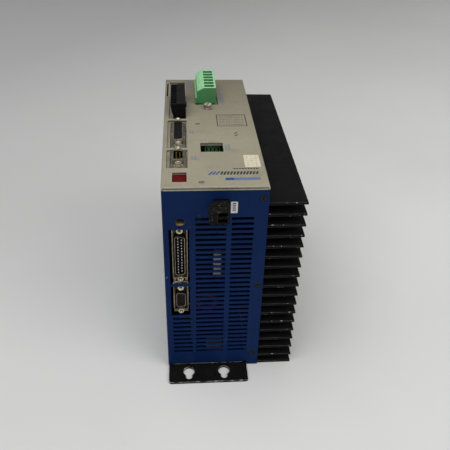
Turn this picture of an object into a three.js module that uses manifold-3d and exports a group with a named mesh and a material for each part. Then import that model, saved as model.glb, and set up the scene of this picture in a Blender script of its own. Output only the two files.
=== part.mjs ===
// Servo drive for a machine cabinet: a black finned heat sink, a folded blue cover, a beige front
// panel, two circuit boards and the plugs, sockets and screws that a wireman works with.
//
// Millimetres. The drive lies on its mounting plate: +Z points out of the front panel, -Y is the
// end with the keyholes, +X is the heat sink's side. Inside the outer group every place is given
// from one corner: x from the cover's left wall, y from the cover's near end, z from the mounting
// plane. The outer group then puts the origin at the middle of the drive's footprint.

import * as THREE from "three";
import { mergeVertices } from "three/addons/utils/BufferGeometryUtils.js";
import Module from "manifold-3d";

const wasm = await Module();
wasm.setup();

// ---------------------------------------------------------------- driving dimensions

const chassis = { width: 80, length: 220.6, depth: 187, sheet: 1.2, corner: 1.8 };
const gap = 0.3; // clearance between pieces that touch on the real drive
const sink = {
  baseLeft: 71,
  baseRight: chassis.width,
  finTip: 110.4,
  nearEnd: 1.5,
  farEnd: chassis.length - 1.5,
  baseTop: 183.4,
  finPitch: 10.04,
  topFin: 170.5,
  fins: 17,
  rootThickness: 2.6,
  tipThickness: 1.8,
};
const plate = {
  left: 0.5,
  right: 70.3,
  thickness: 2,
  flange: 20,
  corner: 2.5,
  lugTop: 11,
  lugThickness: 1.6,
};
const keyhole = {
  columns: [18.3, 49.3],
  headRadius: 4.9,
  slotWidth: 5.4,
  headFromEdge: 12.2,
  seatFromEdge: 6.2,
};
const panel = { thickness: 1.2, underside: chassis.depth - 1.2, flangeBottom: 184 };
const shelf = { top: 185, thickness: 1.2, right: 78.5, flangeBottom: 173 };
const vents = {
  pitch: 4.81,
  height: 2.7,
  firstRow: 19.5,
  rows: 30,
  shortRows: 9,
  shortColumn: [5.5, 22],
  columns: [
    [25, 48.6],
    [52.6, 69.4],
  ],
};
const coverScrewHeights = [15.4, 93.8, 176.6];
const coverScrewColumn = (sink.baseLeft + sink.baseRight) / 2;
const panelScrewRows = [7.6, 110.7, 213.8];
const panelScrewColumn = 30;
const connectorColumn = 12.7; // the D connectors, front and end, share one line

// Openings in the front panel: [left, right, near, far]
const windows = {
  serial: [3.3, 20.4, 29.4, 61],
  io: [3.3, 20.4, 63.6, 119],
  logic: [4.4, 19.9, 121.6, 213.8],
  latchSlot: [1.7, 3.3, 175.7, 211.2],
  display: [8.1, 19, 8, 23.1],
  option: [30.8, 49.5, 56.2, 73.2],
  power: [29, 50.5, 153.6, 207],
};
const earthStud = { x: 40.2, y: 145.1, head: 4.2, hole: 2.9 };

// D connectors, named by their number of contacts
const dSizes = {
  9: { flange: 30.81, male: 16.92, female: 16.33, jacks: 24.99 },
  25: { flange: 53.04, male: 38.96, female: 38.38, jacks: 47.04 },
};
const dShell = {
  maleWidth: 8.36,
  femaleWidth: 7.9,
  flangeWidth: 12.55,
  flangeThickness: 0.8,
  reach: 5.5,
  wall: 0.6,
  taper: (10 * Math.PI) / 180,
  corner: 2.3,
  bodyDepth: 6,
};
const jackscrew = { flats: 4.76, reach: 5.2, thread: 1.4, shank: 3 };

// End connectors: heights of their middles, and how far their flanges sit behind the end wall
const endConnectors = { feedback: 123.6, encoder: 78.2, recess: 6.8 };
// Front connectors: middles along the drive, and the height of their flanges
const frontConnectors = { io: 91.2, serial: 45.2, flangeTop: 184.9 };

// ---------------------------------------------------------------- helpers

// A closed geometry as a solid that can be joined and cut.
function solidOf(geometry) {
  const bare = geometry.clone();
  bare.deleteAttribute("normal");
  bare.deleteAttribute("uv");
  const merged = mergeVertices(bare);
  return new wasm.Manifold(
    new wasm.Mesh({
      numProp: 3,
      vertProperties: merged.attributes.position.array,
      triVerts: new Uint32Array(merged.index.array),
    }),
  );
}

function geometryOf(solid) {
  const mesh = solid.getMesh();
  const geometry = new THREE.BufferGeometry();
  geometry.setAttribute("position", new THREE.BufferAttribute(mesh.vertProperties, 3));
  geometry.setIndex(new THREE.BufferAttribute(mesh.triVerts, 1));
  geometry.computeVertexNormals();
  return geometry;
}

// A box between two limits on each axis.
function block(x0, x1, y0, y1, z0, z1) {
  const box = new THREE.BoxGeometry(x1 - x0, y1 - y0, z1 - z0);
  box.translate((x0 + x1) / 2, (y0 + y1) / 2, (z0 + z1) / 2);
  return solidOf(box);
}

// A closed outline through the points, with every corner rounded off.
function roundedOutline(points, radius) {
  const shape = new THREE.Shape();
  const corners = points.map(([x, y]) => new THREE.Vector2(x, y));
  corners.forEach((corner, i) => {
    const before = corners[(i + corners.length - 1) % corners.length];
    const after = corners[(i + 1) % corners.length];
    const arrive = corner.clone().add(before.clone().sub(corner).setLength(radius));
    const leave = corner.clone().add(after.clone().sub(corner).setLength(radius));
    if (i === 0) shape.moveTo(arrive.x, arrive.y);
    else shape.lineTo(arrive.x, arrive.y);
    shape.quadraticCurveTo(corner.x, corner.y, leave.x, leave.y);
  });
  shape.closePath();
  return shape;
}

function rectangle(x0, x1, y0, y1) {
  return [
    [x0, y0],
    [x1, y0],
    [x1, y1],
    [x0, y1],
  ];
}

// An outline in the XY plane as a prism from z0 to z1.
function prism(shape, z0, z1, curveSegments = 3) {
  const settings = { depth: z1 - z0, bevelEnabled: false, curveSegments };
  return solidOf(new THREE.ExtrudeGeometry(shape, settings).translate(0, 0, z0));
}

function polygon(points) {
  return new THREE.Shape(points.map(([x, y]) => new THREE.Vector2(x, y)));
}

// A cylinder along Z from z0 to z1.
function rod(radius, z0, z1, sides = 16) {
  const geometry = new THREE.CylinderGeometry(radius, radius, z1 - z0, sides);
  return solidOf(geometry.rotateX(Math.PI / 2).translate(0, 0, (z0 + z1) / 2));
}

// Turns that point a solid's +Z along another axis.
const towards = {
  left: (solid) => solid.rotate([0, -90, 0]), // -X
  near: (solid) => solid.rotate([90, 0, 0]), // -Y
  far: (solid) => solid.rotate([-90, 0, 0]), // +Y
};

function cutAll(solid, cutters) {
  return cutters.reduce((rest, cutter) => rest.subtract(cutter), solid);
}

function joinAll(solids) {
  return solids.reduce((sum, one) => sum.add(one));
}

const finishes = {
  blackAnodised: { color: 0x1b1b1c, roughness: 0.55, metalness: 0.4 },
  bluePaint: { color: 0x16356e, roughness: 0.5, metalness: 0.1 },
  beigePaint: { color: 0xa9a08c, roughness: 0.55, metalness: 0.15 },
  bareAluminium: { color: 0xa8a69e, roughness: 0.45, metalness: 0.8 },
  blackPaint: { color: 0x121213, roughness: 0.45, metalness: 0.1 },
  yellowZinc: { color: 0x9c8b56, roughness: 0.4, metalness: 0.8 },
  tinPlate: { color: 0xb5b1a4, roughness: 0.35, metalness: 0.9 },
  blackPlastic: { color: 0x17171a, roughness: 0.5, metalness: 0 },
  greenPlastic: { color: 0x3f8a4c, roughness: 0.45, metalness: 0 },
  board: { color: 0x1f4d2c, roughness: 0.5, metalness: 0 },
  steel: { color: 0x9b958c, roughness: 0.35, metalness: 0.9 },
  blackSteel: { color: 0x141414, roughness: 0.4, metalness: 0.6 },
  redFilter: { color: 0x8a1c20, roughness: 0.2, metalness: 0 },
  greyCeramic: { color: 0xb9b2ac, roughness: 0.8, metalness: 0 },
  copper: { color: 0x9a4f2c, roughness: 0.4, metalness: 0.7 },
  canSleeve: { color: 0x22262c, roughness: 0.4, metalness: 0 },
  oliveFilm: { color: 0x6a6a32, roughness: 0.6, metalness: 0 },
};

const inside = new THREE.Group(); // corner frame

function place(name, solid, finish, x = 0, y = 0, z = 0, group = inside) {
  const material = new THREE.MeshStandardMaterial(finishes[finish]);
  const mesh = new THREE.Mesh(geometryOf(solid), material);
  mesh.name = name;
  mesh.position.set(x, y, z);
  group.add(mesh);
  return mesh;
}

// ---------------------------------------------------------------- heat sink

// Base plate and fins are one extrusion along the drive. Its profile lies in the XZ plane.
function heatSinkProfile() {
  const outline = [
    [sink.baseLeft, 0],
    [sink.baseLeft, sink.baseTop],
    [sink.baseRight, sink.baseTop],
  ];
  const root = sink.rootThickness / 2;
  const tip = sink.tipThickness / 2;
  for (let fin = 0; fin < sink.fins; fin++) {
    const middle = sink.topFin - fin * sink.finPitch;
    outline.push([sink.baseRight, middle + root]);
    outline.push([sink.finTip, middle + tip]);
    outline.push([sink.finTip, middle - tip]);
    outline.push([sink.baseRight, middle - root]);
  }
  outline.push([sink.baseRight, sink.rootThickness]);
  outline.push([sink.finTip, sink.tipThickness]);
  outline.push([sink.finTip, 0]);
  return polygon(outline.reverse());
}

function heatSink() {
  const length = sink.farEnd - sink.nearEnd;
  const bar = towards.near(prism(heatSinkProfile(), -length, 0));
  const threads = coverScrewHeights.flatMap((z) =>
    [0, length].map((end) =>
      towards.far(rod(1.8, -12, 12, 10)).translate([coverScrewColumn, end, z]),
    ),
  );
  return cutAll(bar, threads);
}

place("heat_sink", heatSink(), "blackAnodised", 0, sink.nearEnd, 0);

// ---------------------------------------------------------------- folded cover

const coverTop = panel.flangeBottom - 0.4;
const coverFoot = 4.4; // the end walls stop here above the mounting plate
const connectorHoles = [
  // left, right, bottom, top
  [4.5, 20.2, endConnectors.feedback - 27.6, endConnectors.feedback + 26.2],
  [4.5, 20.2, endConnectors.encoder - 16.2, endConnectors.encoder + 15.6],
];
const brake = { left: 34.4, right: 49.3, bottom: 165.7, top: 175.8, reach: 17.1, neck: 8.1 };
const brakeHole = [38.4, 50.8, 165.1, 176.4];
const sightHole = { x: 13.4, z: 156, radius: 3.75 };

// A U in plan: both end walls and the left wall, with rounded folds.
function coverOutline() {
  const { width, length, sheet, corner } = chassis;
  const inner = corner - sheet;
  const shape = new THREE.Shape();
  shape.moveTo(width, 0);
  shape.lineTo(width, sheet);
  shape.lineTo(sheet + inner, sheet);
  shape.absarc(corner, corner, inner, -Math.PI / 2, Math.PI, true);
  shape.lineTo(sheet, length - corner);
  shape.absarc(corner, length - corner, inner, Math.PI, Math.PI / 2, true);
  shape.lineTo(width, length - sheet);
  shape.lineTo(width, length);
  shape.lineTo(corner, length);
  shape.absarc(corner, length - corner, corner, Math.PI / 2, Math.PI, false);
  shape.lineTo(0, corner);
  shape.absarc(corner, corner, corner, Math.PI, 1.5 * Math.PI, false);
  return shape;
}

function ventSlots(y0, y1) {
  const slots = [];
  const rowBox = ([x0, x1], row) => {
    const middle = vents.firstRow + row * vents.pitch;
    return block(x0, x1, y0, y1, middle - vents.height / 2, middle + vents.height / 2);
  };
  for (let row = 0; row < vents.rows; row++) {
    vents.columns.forEach((column) => slots.push(rowBox(column, row)));
    if (row < vents.shortRows) slots.push(rowBox(vents.shortColumn, row));
  }
  return slots;
}

function chassisCover() {
  const { length, sheet } = chassis;
  const lowest = 0.6;
  const nearWall = [-1, sheet + 1];
  const farWall = [length - sheet - 1, length + 1];
  const cutters = [
    block(-1, plate.right + gap, -1, length + 1, lowest - 1, plate.thickness + gap),
    block(2.4, plate.right + gap, -1, length + 1, lowest - 1, coverFoot),
    block(brakeHole[0], brakeHole[1], ...nearWall, brakeHole[2], brakeHole[3]),
    towards.near(rod(sightHole.radius, -3, 3, 36)).translate([sightHole.x, 0, sightHole.z]),
    ...connectorHoles.map(([x0, x1, z0, z1]) => block(x0, x1, ...nearWall, z0, z1)),
    ...coverScrewHeights.flatMap((z) =>
      [0, length].map((end) =>
        towards.near(rod(3.1, -3, 3, 24)).translate([coverScrewColumn, end, z]),
      ),
    ),
    ...ventSlots(...nearWall).filter((slot) => {
      const box = slot.boundingBox();
      return box.max[2] < brakeHole[2] || box.min[0] > brakeHole[1];
    }),
    ...ventSlots(...farWall),
  ];
  return cutAll(prism(coverOutline(), lowest, coverTop, 3), cutters);
}

place("chassis_cover", chassisCover(), "bluePaint");

function coverScrew() {
  const head = rod(2.8, -1, 0, 20);
  const shank = rod(1.45, -9, -0.5, 10);
  const slot = block(-2, 2, -0.35, 0.35, -0.6, 1);
  const crossSlot = block(-0.35, 0.35, -2, 2, -0.6, 1);
  return cutAll(head.add(shank), [slot, crossSlot]);
}

coverScrewHeights.forEach((z, i) => {
  const inset = 0.1; // heads sit just under the cover's face
  const near = towards.near(coverScrew());
  const far = towards.far(coverScrew());
  place(`cover_screw_near_${i + 1}`, near, "blackSteel", coverScrewColumn, inset, z);
  place(`cover_screw_far_${i + 1}`, far, "blackSteel", coverScrewColumn, chassis.length - inset, z);
});

// ---------------------------------------------------------------- mounting plate

// Keyhole in a flange that sticks out towards -Y from y = 0: the head goes in near the body.
function keyholeCutter(x) {
  const seat = -plate.flange + keyhole.seatFromEdge;
  const head = -plate.flange + keyhole.headFromEdge;
  const half = keyhole.slotWidth / 2;
  return joinAll([
    rod(keyhole.headRadius, -1, 4, 40).translate([x, head, 0]),
    rod(half, -1, 4, 28).translate([x, seat, 0]),
    block(x - half, x + half, seat, head, -1, 4),
  ]);
}

function openSlotCutter(x) {
  const edge = chassis.length + plate.flange;
  const seat = edge - keyhole.headFromEdge;
  const half = keyhole.slotWidth / 2;
  return rod(half, -1, 4, 28)
    .translate([x, seat, 0])
    .add(block(x - half, x + half, seat, edge + 1, -1, 4));
}

function mountingPlate() {
  const near = -plate.flange;
  const far = chassis.length + plate.flange;
  const sheet = prism(
    roundedOutline(rectangle(plate.left, plate.right, near, far), plate.corner),
    0,
    plate.thickness,
  );
  const inset = chassis.sheet + gap;
  const lugs = [inset, chassis.length - inset - plate.lugThickness].map((y) =>
    block(4, 66, y, y + plate.lugThickness, plate.thickness / 2, plate.lugTop),
  );
  return cutAll(joinAll([sheet, ...lugs]), [
    ...keyhole.columns.map(keyholeCutter),
    ...keyhole.columns.map(openSlotCutter),
  ]);
}

place("mounting_plate", mountingPlate(), "blackPaint");

// ---------------------------------------------------------------- front panel and shelf

function windowCutter([x0, x1, y0, y1], z0, z1) {
  return block(x0, x1, y0, y1, z0, z1);
}

function frontPanel() {
  const { width, length, depth } = chassis;
  const near = 0.1;
  const far = length - 0.1;
  const sheet = block(0, width, near, far, panel.underside, depth);
  const leftFlange = block(0, panel.thickness, near, far, panel.flangeBottom, panel.underside + 0.5);
  const rightFlange = leftFlange.translate([width - panel.thickness, 0, 0]);
  const holes = [
    ...Object.values(windows).map((w) => windowCutter(w, panel.underside - 1, depth + 1)),
    rod(earthStud.hole, 180, 190, 20).translate([earthStud.x, earthStud.y, 0]),
    ...panelScrewRows.map((y) => rod(2.5, 180, 190, 24).translate([panelScrewColumn, y, 0])),
  ];
  return cutAll(joinAll([sheet, leftFlange, rightFlange]), holes);
}

place("front_panel", frontPanel(), "beigePaint");

const flangeHole = (contacts) => {
  const half = dSizes[contacts].flange / 2 + gap;
  const y = contacts === 25 ? frontConnectors.io : frontConnectors.serial;
  const across = dShell.flangeWidth / 2 + gap;
  return [connectorColumn - across, connectorColumn + across, y - half, y + half];
};
const logicHeader = { left: 8.6, right: 19.5, near: 123.6, far: 175.4, bottom: 172, top: 186.4 };
const powerHeader = { left: 29.6, right: 49.7, near: 154.2, far: 206.4, bottom: 170, top: 184.6 };
const optionHeader = { left: 35, right: 48, near: 75.6, far: 86, bottom: 160, top: 183.2 };

function connectorShelf() {
  const { top, thickness, right, flangeBottom } = shelf;
  const left = chassis.sheet + gap;
  const near = 0.2;
  const far = chassis.length - 0.2;
  const sheet = block(left, right, near, far, top - thickness, top);
  const inset = chassis.sheet + 1;
  const leftFlange = block(left, left + 1.2, inset, far - inset, flangeBottom, top - 0.5);
  const flangeX = sink.baseLeft - gap - 1.2;
  const rightFlange = block(flangeX, flangeX + 1.2, inset, far - inset, flangeBottom, top - 0.5);
  const grow = ({ left: x0, right: x1, near: y0, far: y1 }) => [
    x0 - gap,
    x1 + gap,
    y0 - gap,
    y1 + gap,
  ];
  const [slotLeft, slotRight, slotNear, slotFar] = windows.latchSlot;
  const latchSlot = block(
    slotLeft - 0.6,
    slotRight + gap,
    slotNear - gap,
    slotFar + gap,
    flangeBottom - 1,
    top + 1,
  );
  const openings = [
    flangeHole(9),
    flangeHole(25),
    grow(logicHeader),
    windows.display,
    windows.option,
    grow(powerHeader),
  ];
  const holes = [
    ...openings.map((opening) => windowCutter(opening, top - thickness - 1, top + 1)),
    rod(earthStud.hole, 180, 190, 20).translate([earthStud.x, earthStud.y, 0]),
    ...panelScrewRows.map((y) => rod(1.6, 180, 190, 10).translate([panelScrewColumn, y, 0])),
  ];
  return cutAll(joinAll([sheet, leftFlange, rightFlange]), [latchSlot, ...holes]);
}

place("connector_shelf", connectorShelf(), "bareAluminium");

function panelScrew() {
  const head = rod(2.2, -1, 0, 20);
  const shank = rod(1.2, -7, -0.5, 10);
  return head.add(shank).subtract(block(-1.5, 1.5, -0.3, 0.3, -0.5, 1));
}

panelScrewRows.forEach((y, i) => {
  const height = chassis.depth - 0.15;
  place(`panel_screw_${i + 1}`, panelScrew(), "beigePaint", panelScrewColumn, y, height);
});

function earthScrew() {
  const washer = rod(earthStud.head, 0, 0.9, 28);
  const head = rod(earthStud.head - 0.5, 0.5, 4, 28);
  const shank = rod(2.4, -12, 0.5, 12);
  return joinAll([washer, head, shank]).subtract(block(-3, 3, -0.55, 0.55, 2.6, 5));
}

place("earth_screw", earthScrew(), "steel", earthStud.x, earthStud.y, chassis.depth + gap);

// ---------------------------------------------------------------- D connectors

// The D outline in the XY plane: the long side faces -X, and both ends slope in by the taper.
function dOutline(length, width) {
  const slope = (width / 2) * Math.tan(dShell.taper);
  return roundedOutline(
    [
      [-width / 2, -length / 2],
      [width / 2, -length / 2 + 2 * slope],
      [width / 2, length / 2 - 2 * slope],
      [-width / 2, length / 2],
    ],
    Math.min(dShell.corner, width / 2 - 0.6),
  );
}

// Shell, insulator and two jackscrews. z = 0 is the flange's front face and +Z is the way a
// cable's plug leaves.
function dConnector(name, contacts, gender) {
  const size = dSizes[contacts];
  const male = gender === "male";
  const width = male ? dShell.maleWidth : dShell.femaleWidth;
  const length = size[gender];
  const group = new THREE.Group();
  const bore = (clear) => dOutline(length - 2 * clear, width - 2 * clear);

  const half = [dShell.flangeWidth / 2, size.flange / 2];
  const flange = prism(
    roundedOutline(rectangle(-half[0], half[0], -half[1], half[1]), 1.5),
    -dShell.flangeThickness,
    0,
    2,
  );
  const tube = prism(dOutline(length, width), -dShell.flangeThickness / 2, dShell.reach);
  const shell = cutAll(flange.add(tube), [
    prism(bore(dShell.wall), -2, dShell.reach + 1),
    ...[-1, 1].map((end) => rod(1.75, -2, 1, 12).translate([0, (end * size.jacks) / 2, 0])),
  ]);
  place(`${name}_shell`, shell, "tinPlate", 0, 0, 0, group);

  const face = male ? 0.4 : dShell.reach - 0.3;
  const insert = prism(bore(dShell.wall + gap), -dShell.bodyDepth, face);
  place(`${name}_insulator`, insert, "blackPlastic", 0, 0, 0, group);

  [-1, 1].forEach((end, i) => {
    const y = (end * size.jacks) / 2;
    place(`${name}_jackscrew_${i + 1}`, hexJack(), "tinPlate", 0, y, 0, group);
  });
  return group;
}

function hexJack() {
  const { flats, reach, thread, shank } = jackscrew;
  const body = rod(flats / Math.sqrt(3), gap, reach, 6);
  const stud = rod(thread, -shank, gap + 0.5, 10);
  return body.add(stud).subtract(rod(thread, 1.2, reach + 1, 10));
}

function placeEndConnector(name, contacts, gender, height) {
  const group = dConnector(name, contacts, gender);
  group.rotation.x = Math.PI / 2; // points the mating side at -Y
  group.position.set(connectorColumn, endConnectors.recess, height);
  inside.add(group);
}

function placeFrontConnector(name, contacts, gender, y) {
  const group = dConnector(name, contacts, gender);
  group.position.set(connectorColumn, y, frontConnectors.flangeTop);
  inside.add(group);
}

placeEndConnector("feedback", 25, "male", endConnectors.feedback);
placeEndConnector("encoder", 9, "female", endConnectors.encoder);
placeFrontConnector("io", 25, "female", frontConnectors.io);
placeFrontConnector("serial", 9, "male", frontConnectors.serial);

// Yellow bracket behind the end connectors: its top flange shows through the round sight hole.
function connectorBracket() {
  const front = endConnectors.recess + dShell.flangeThickness + gap;
  const sheet = 1;
  const top = 153.2;
  const back = front + sheet;
  const shelfFront = 2.2;
  const shelfBack = 13.5;
  const upright = block(6.8, 18.6, front, back, 60, top);
  const shelfFlange = block(6.8, 18.6, shelfFront, shelfBack, top - sheet, top);
  const bodyHole = (contacts, gender, z) => {
    const long = dSizes[contacts][gender] / 2 + 0.5;
    return block(connectorColumn - 4.6, connectorColumn + 4.6, front - 1, back + 1, z - long, z + long);
  };
  const studHole = (z) => towards.near(rod(2, -15, 1, 10)).translate([connectorColumn, 0, z]);
  const jacks = (contacts, z) => [-1, 1].map((end) => z + (end * dSizes[contacts].jacks) / 2);
  return cutAll(upright.add(shelfFlange), [
    bodyHole(25, "male", endConnectors.feedback),
    bodyHole(9, "female", endConnectors.encoder),
    ...jacks(25, endConnectors.feedback).map(studHole),
    ...jacks(9, endConnectors.encoder).map(studHole),
  ]);
}

place("connector_bracket", connectorBracket(), "yellowZinc");

// ---------------------------------------------------------------- pluggable terminals

// A shroud that is open at the top, with a cavity for a plug's tongue.
function header({ left, right, near, far, bottom, top }, wall, floor) {
  return block(left, right, near, far, bottom, top).subtract(
    block(left + wall, right - wall, near + wall, far - wall, floor, top + 1),
  );
}

// Middles of equally spaced poles between two ends.
function poleMiddles(count, pitch, near, far) {
  const middle = (near + far) / 2;
  return Array.from({ length: count }, (_, i) => middle + (i - (count - 1) / 2) * pitch);
}

function clampScrew(radius, length) {
  return rod(radius, -length, 0, 14).subtract(block(-radius - 1, radius + 1, -0.35, 0.35, -0.7, 1));
}

// Green power plug, six poles. Its profile lies in the XZ plane and its poles run along Y.
const powerPlug = { near: 155.8, far: 205.2, poles: 6, pitch: 7.62, bottom: 187.6, top: 202.7 };
const powerScrew = { radius: 1.9, hole: 2.15, length: 3, z: 196.4, face: 30.6, sunk: 0.8 };
powerPlug.middles = poleMiddles(powerPlug.poles, powerPlug.pitch, powerPlug.near, powerPlug.far);

function powerPlugBody() {
  const { near, far, bottom, top, middles } = powerPlug;
  const profile = polygon([
    [28.9, bottom],
    [48.5, bottom],
    [48.5, top],
    [36.9, top],
    [powerScrew.face, 199.3],
    [powerScrew.face, 193.6],
    [28.9, 192.2],
  ]);
  const body = towards.near(prism(profile, -far, -near));
  const tongue = block(31.6, 47.7, near + 0.8, far - 0.8, 178.9, bottom + 0.5);
  const wireEntries = middles.map((y) => block(37.7, 46.5, y - 2.55, y + 2.55, top - 8, top + 1));
  const screwHoles = middles.map((y) =>
    towards.left(rod(powerScrew.hole, -5, 5, 14)).translate([powerScrew.face, y, powerScrew.z]),
  );
  return cutAll(body.add(tongue), [...wireEntries, ...screwHoles]);
}

place("power_header", header(powerHeader, 1.5, 178.4), "greenPlastic");
place("power_plug", powerPlugBody(), "greenPlastic");
powerPlug.middles.forEach((y, i) => {
  const screw = towards.left(clampScrew(powerScrew.radius, powerScrew.length));
  const x = powerScrew.face + powerScrew.sunk;
  place(`power_clamp_screw_${i + 1}`, screw, "steel", x, y, powerScrew.z);
});

// Black logic plug, twelve poles: clamp screws in its top, wire entries in its left side.
const logicPlug = { near: 124.9, far: 174.2, poles: 12, pitch: 3.81, bottom: 187.3, top: 199.8 };

function logicPlugBody() {
  const { near, far, bottom, top, poles, pitch } = logicPlug;
  const profile = polygon([
    [9.3, bottom],
    [19.7, bottom],
    [19.3, top],
    [6.1, top],
    [7.2, 191.2],
  ]);
  const body = towards.near(prism(profile, -far, -near));
  const tongue = block(10.3, 17.9, near + 0.6, far - 0.6, 179.8, bottom + 0.5);
  const latch = block(19, 20.6, 137, 141, 191.5, 195.5);
  const middles = poleMiddles(poles, pitch, near, far);
  const screwHoles = middles.map((y) => rod(1.6, top - 2.6, top + 1, 10).translate([9, y, 0]));
  const wireEntries = middles.map((y) => block(5, 9.5, y - 1.25, y + 1.25, 192.8, 195.6));
  return cutAll(joinAll([body, tongue, latch]), [...screwHoles, ...wireEntries]);
}

place("logic_header", header(logicHeader, 1.3, 179.3), "blackPlastic");
place("logic_plug", logicPlugBody(), "blackPlastic");

// Black two-pole brake plug on the end wall. Its profile lies in the XY plane, its poles along Z.
const brakeScrew = { radius: 1.5, hole: 1.75, length: 2.6, y: -12.6, sunk: 0.6 };
const brakeMiddles = poleMiddles(2, 5.08, brake.bottom, brake.top);

function brakePlugBody() {
  const { left, right, bottom, top, reach, neck } = brake;
  const face = -0.4; // clear of the end wall
  const profile = polygon([
    [39.1, face],
    [left, -neck],
    [left, -reach],
    [right, -reach],
    [50, face],
  ]);
  const body = prism(profile, bottom, top);
  const tongue = block(40.4, 48.8, face - 0.5, 8, bottom + 0.7, top - 0.7);
  const wireEntries = brakeMiddles.map((z) =>
    block(41.2, 47.6, -reach - 1, -reach + 7, z - 1.7, z + 1.7),
  );
  const screwHoles = brakeMiddles.map((z) =>
    towards.left(rod(brakeScrew.hole, -4, 4, 14)).translate([left, brakeScrew.y, z]),
  );
  return cutAll(body.add(tongue), [...wireEntries, ...screwHoles]);
}

function brakeHeaderBody() {
  const near = chassis.sheet + gap;
  const shroud = block(38.6, 50.6, near, 15, 164.6, 177);
  return shroud.subtract(block(39.9, 49.3, near - 1, 8.5, 165.9, 175.6));
}

place("brake_header", brakeHeaderBody(), "blackPlastic");
place("brake_plug", brakePlugBody(), "blackPlastic");
brakeMiddles.forEach((z, i) => {
  const screw = towards.left(clampScrew(brakeScrew.radius, brakeScrew.length));
  place(`brake_clamp_screw_${i + 1}`, screw, "steel", brake.left + brakeScrew.sunk, brakeScrew.y, z);
});

function optionHeaderBody() {
  const { left, right, near, far, bottom, top } = optionHeader;
  const ribs = [0.25, 0.5, 0.75].map((share) => {
    const x = left + share * (right - left);
    return block(x - 0.6, x + 0.6, near - 1, near + 1.2, top - 12, top + 1);
  });
  return cutAll(block(left, right, near, far, bottom, top), ribs);
}

place("option_header", optionHeaderBody(), "greenPlastic");

// ---------------------------------------------------------------- status display

const displaySize = [windows.display[1] - windows.display[0], windows.display[3] - windows.display[2]];
const displayMiddle = [
  (windows.display[0] + windows.display[1]) / 2,
  (windows.display[2] + windows.display[3]) / 2,
];
const filterHalf = displaySize.map((size) => size / 2 - gap);
place(
  "display_filter",
  block(-filterHalf[0], filterHalf[0], -filterHalf[1], filterHalf[1], 0, 1),
  "redFilter",
  displayMiddle[0],
  displayMiddle[1],
  shelf.top - 1,
);
place(
  "display_module",
  block(-filterHalf[0], filterHalf[0], -filterHalf[1], filterHalf[1], -8, -gap),
  "blackPlastic",
  displayMiddle[0],
  displayMiddle[1],
  shelf.top - 1,
);

// ---------------------------------------------------------------- inside the cover

const controlBoard = { x: 20.6, near: 9.8, far: 214, bottom: 24, top: 181 };
const powerBoard = { x: 51.2, near: 15.6, far: 214, bottom: 14, top: 181 };
const boardThickness = 1.6;

function circuitBoard({ near, far, bottom, top }) {
  const holes = [near + 5, far - 5].flatMap((y) =>
    [bottom + 5, top - 14].map((z) => towards.left(rod(1.7, -3, 3, 10)).translate([0, y, z])),
  );
  return cutAll(block(0, boardThickness, near, far, bottom, top), holes);
}

place("control_board", circuitBoard(controlBoard), "board", controlBoard.x);
place("power_board", circuitBoard(powerBoard), "board", powerBoard.x);

// Power module: clamped to the heat sink's base.
function powerModule() {
  const body = block(-14, 0, -45, 45, -28, 28);
  const pins = [-30, -10, 10, 30].map((y) => block(-17.5, -13.5, y - 2, y + 2, -2, 2));
  return joinAll([body, ...pins]);
}

place("power_module", powerModule(), "blackPlastic", sink.baseLeft - 0.4, 105, 80);

const canister = { radius: 14.5, length: 26.5 };
[150, 182].forEach((y, i) => {
  const can = towards.left(rod(canister.radius, gap, canister.length, 24));
  place(`bus_capacitor_${i + 1}`, can, "canSleeve", powerBoard.x, y, 62);
});
place(
  "bus_capacitor_3",
  towards.left(rod(canister.radius, gap, canister.length, 24)),
  "canSleeve",
  powerBoard.x,
  166,
  100,
);

function transformer() {
  const core = block(-20, -0.3, -17, 17, -15, 15);
  const bobbin = block(-24, -1, -11, 11, -18, 18);
  return core.add(bobbin);
}

place("transformer", transformer(), "oliveFilm", powerBoard.x, 80, 130);

function chokeCoil() {
  const ring = new THREE.TorusGeometry(7.6, 3.6, 8, 20);
  return towards.near(solidOf(ring));
}

place("choke_coil", chokeCoil(), "copper", 34.5, 14, 66);
place("ballast_resistor", block(39.4, 45.8, 6, 12.5, 98.5, 121.5), "greyCeramic");
place("film_capacitor", block(34, 48.5, 5.5, 16, 12.6, 19.8), "oliveFilm");
place("relay", block(30, 50.9, 24, 52, 140, 156), "blackPlastic");

// ---------------------------------------------------------------- the drive

const footprint = { x: sink.finTip / 2, y: chassis.length / 2 };
inside.position.set(-footprint.x, -footprint.y, 0);
const servoDrive = new THREE.Group();
servoDrive.add(inside);

export default servoDrive;
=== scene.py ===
"""The looks of a servo drive: finned heat sink, folded blue cover, front panel, connectors and plugs.

Shapes are worked in millimetres from one corner of the housing: x from the cover's left wall,
y from its near end, z from the mounting plane. settle() puts a finished shape into the frame.
"""

import math

import bmesh
import bpy
from mathutils import Matrix, Vector


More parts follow.
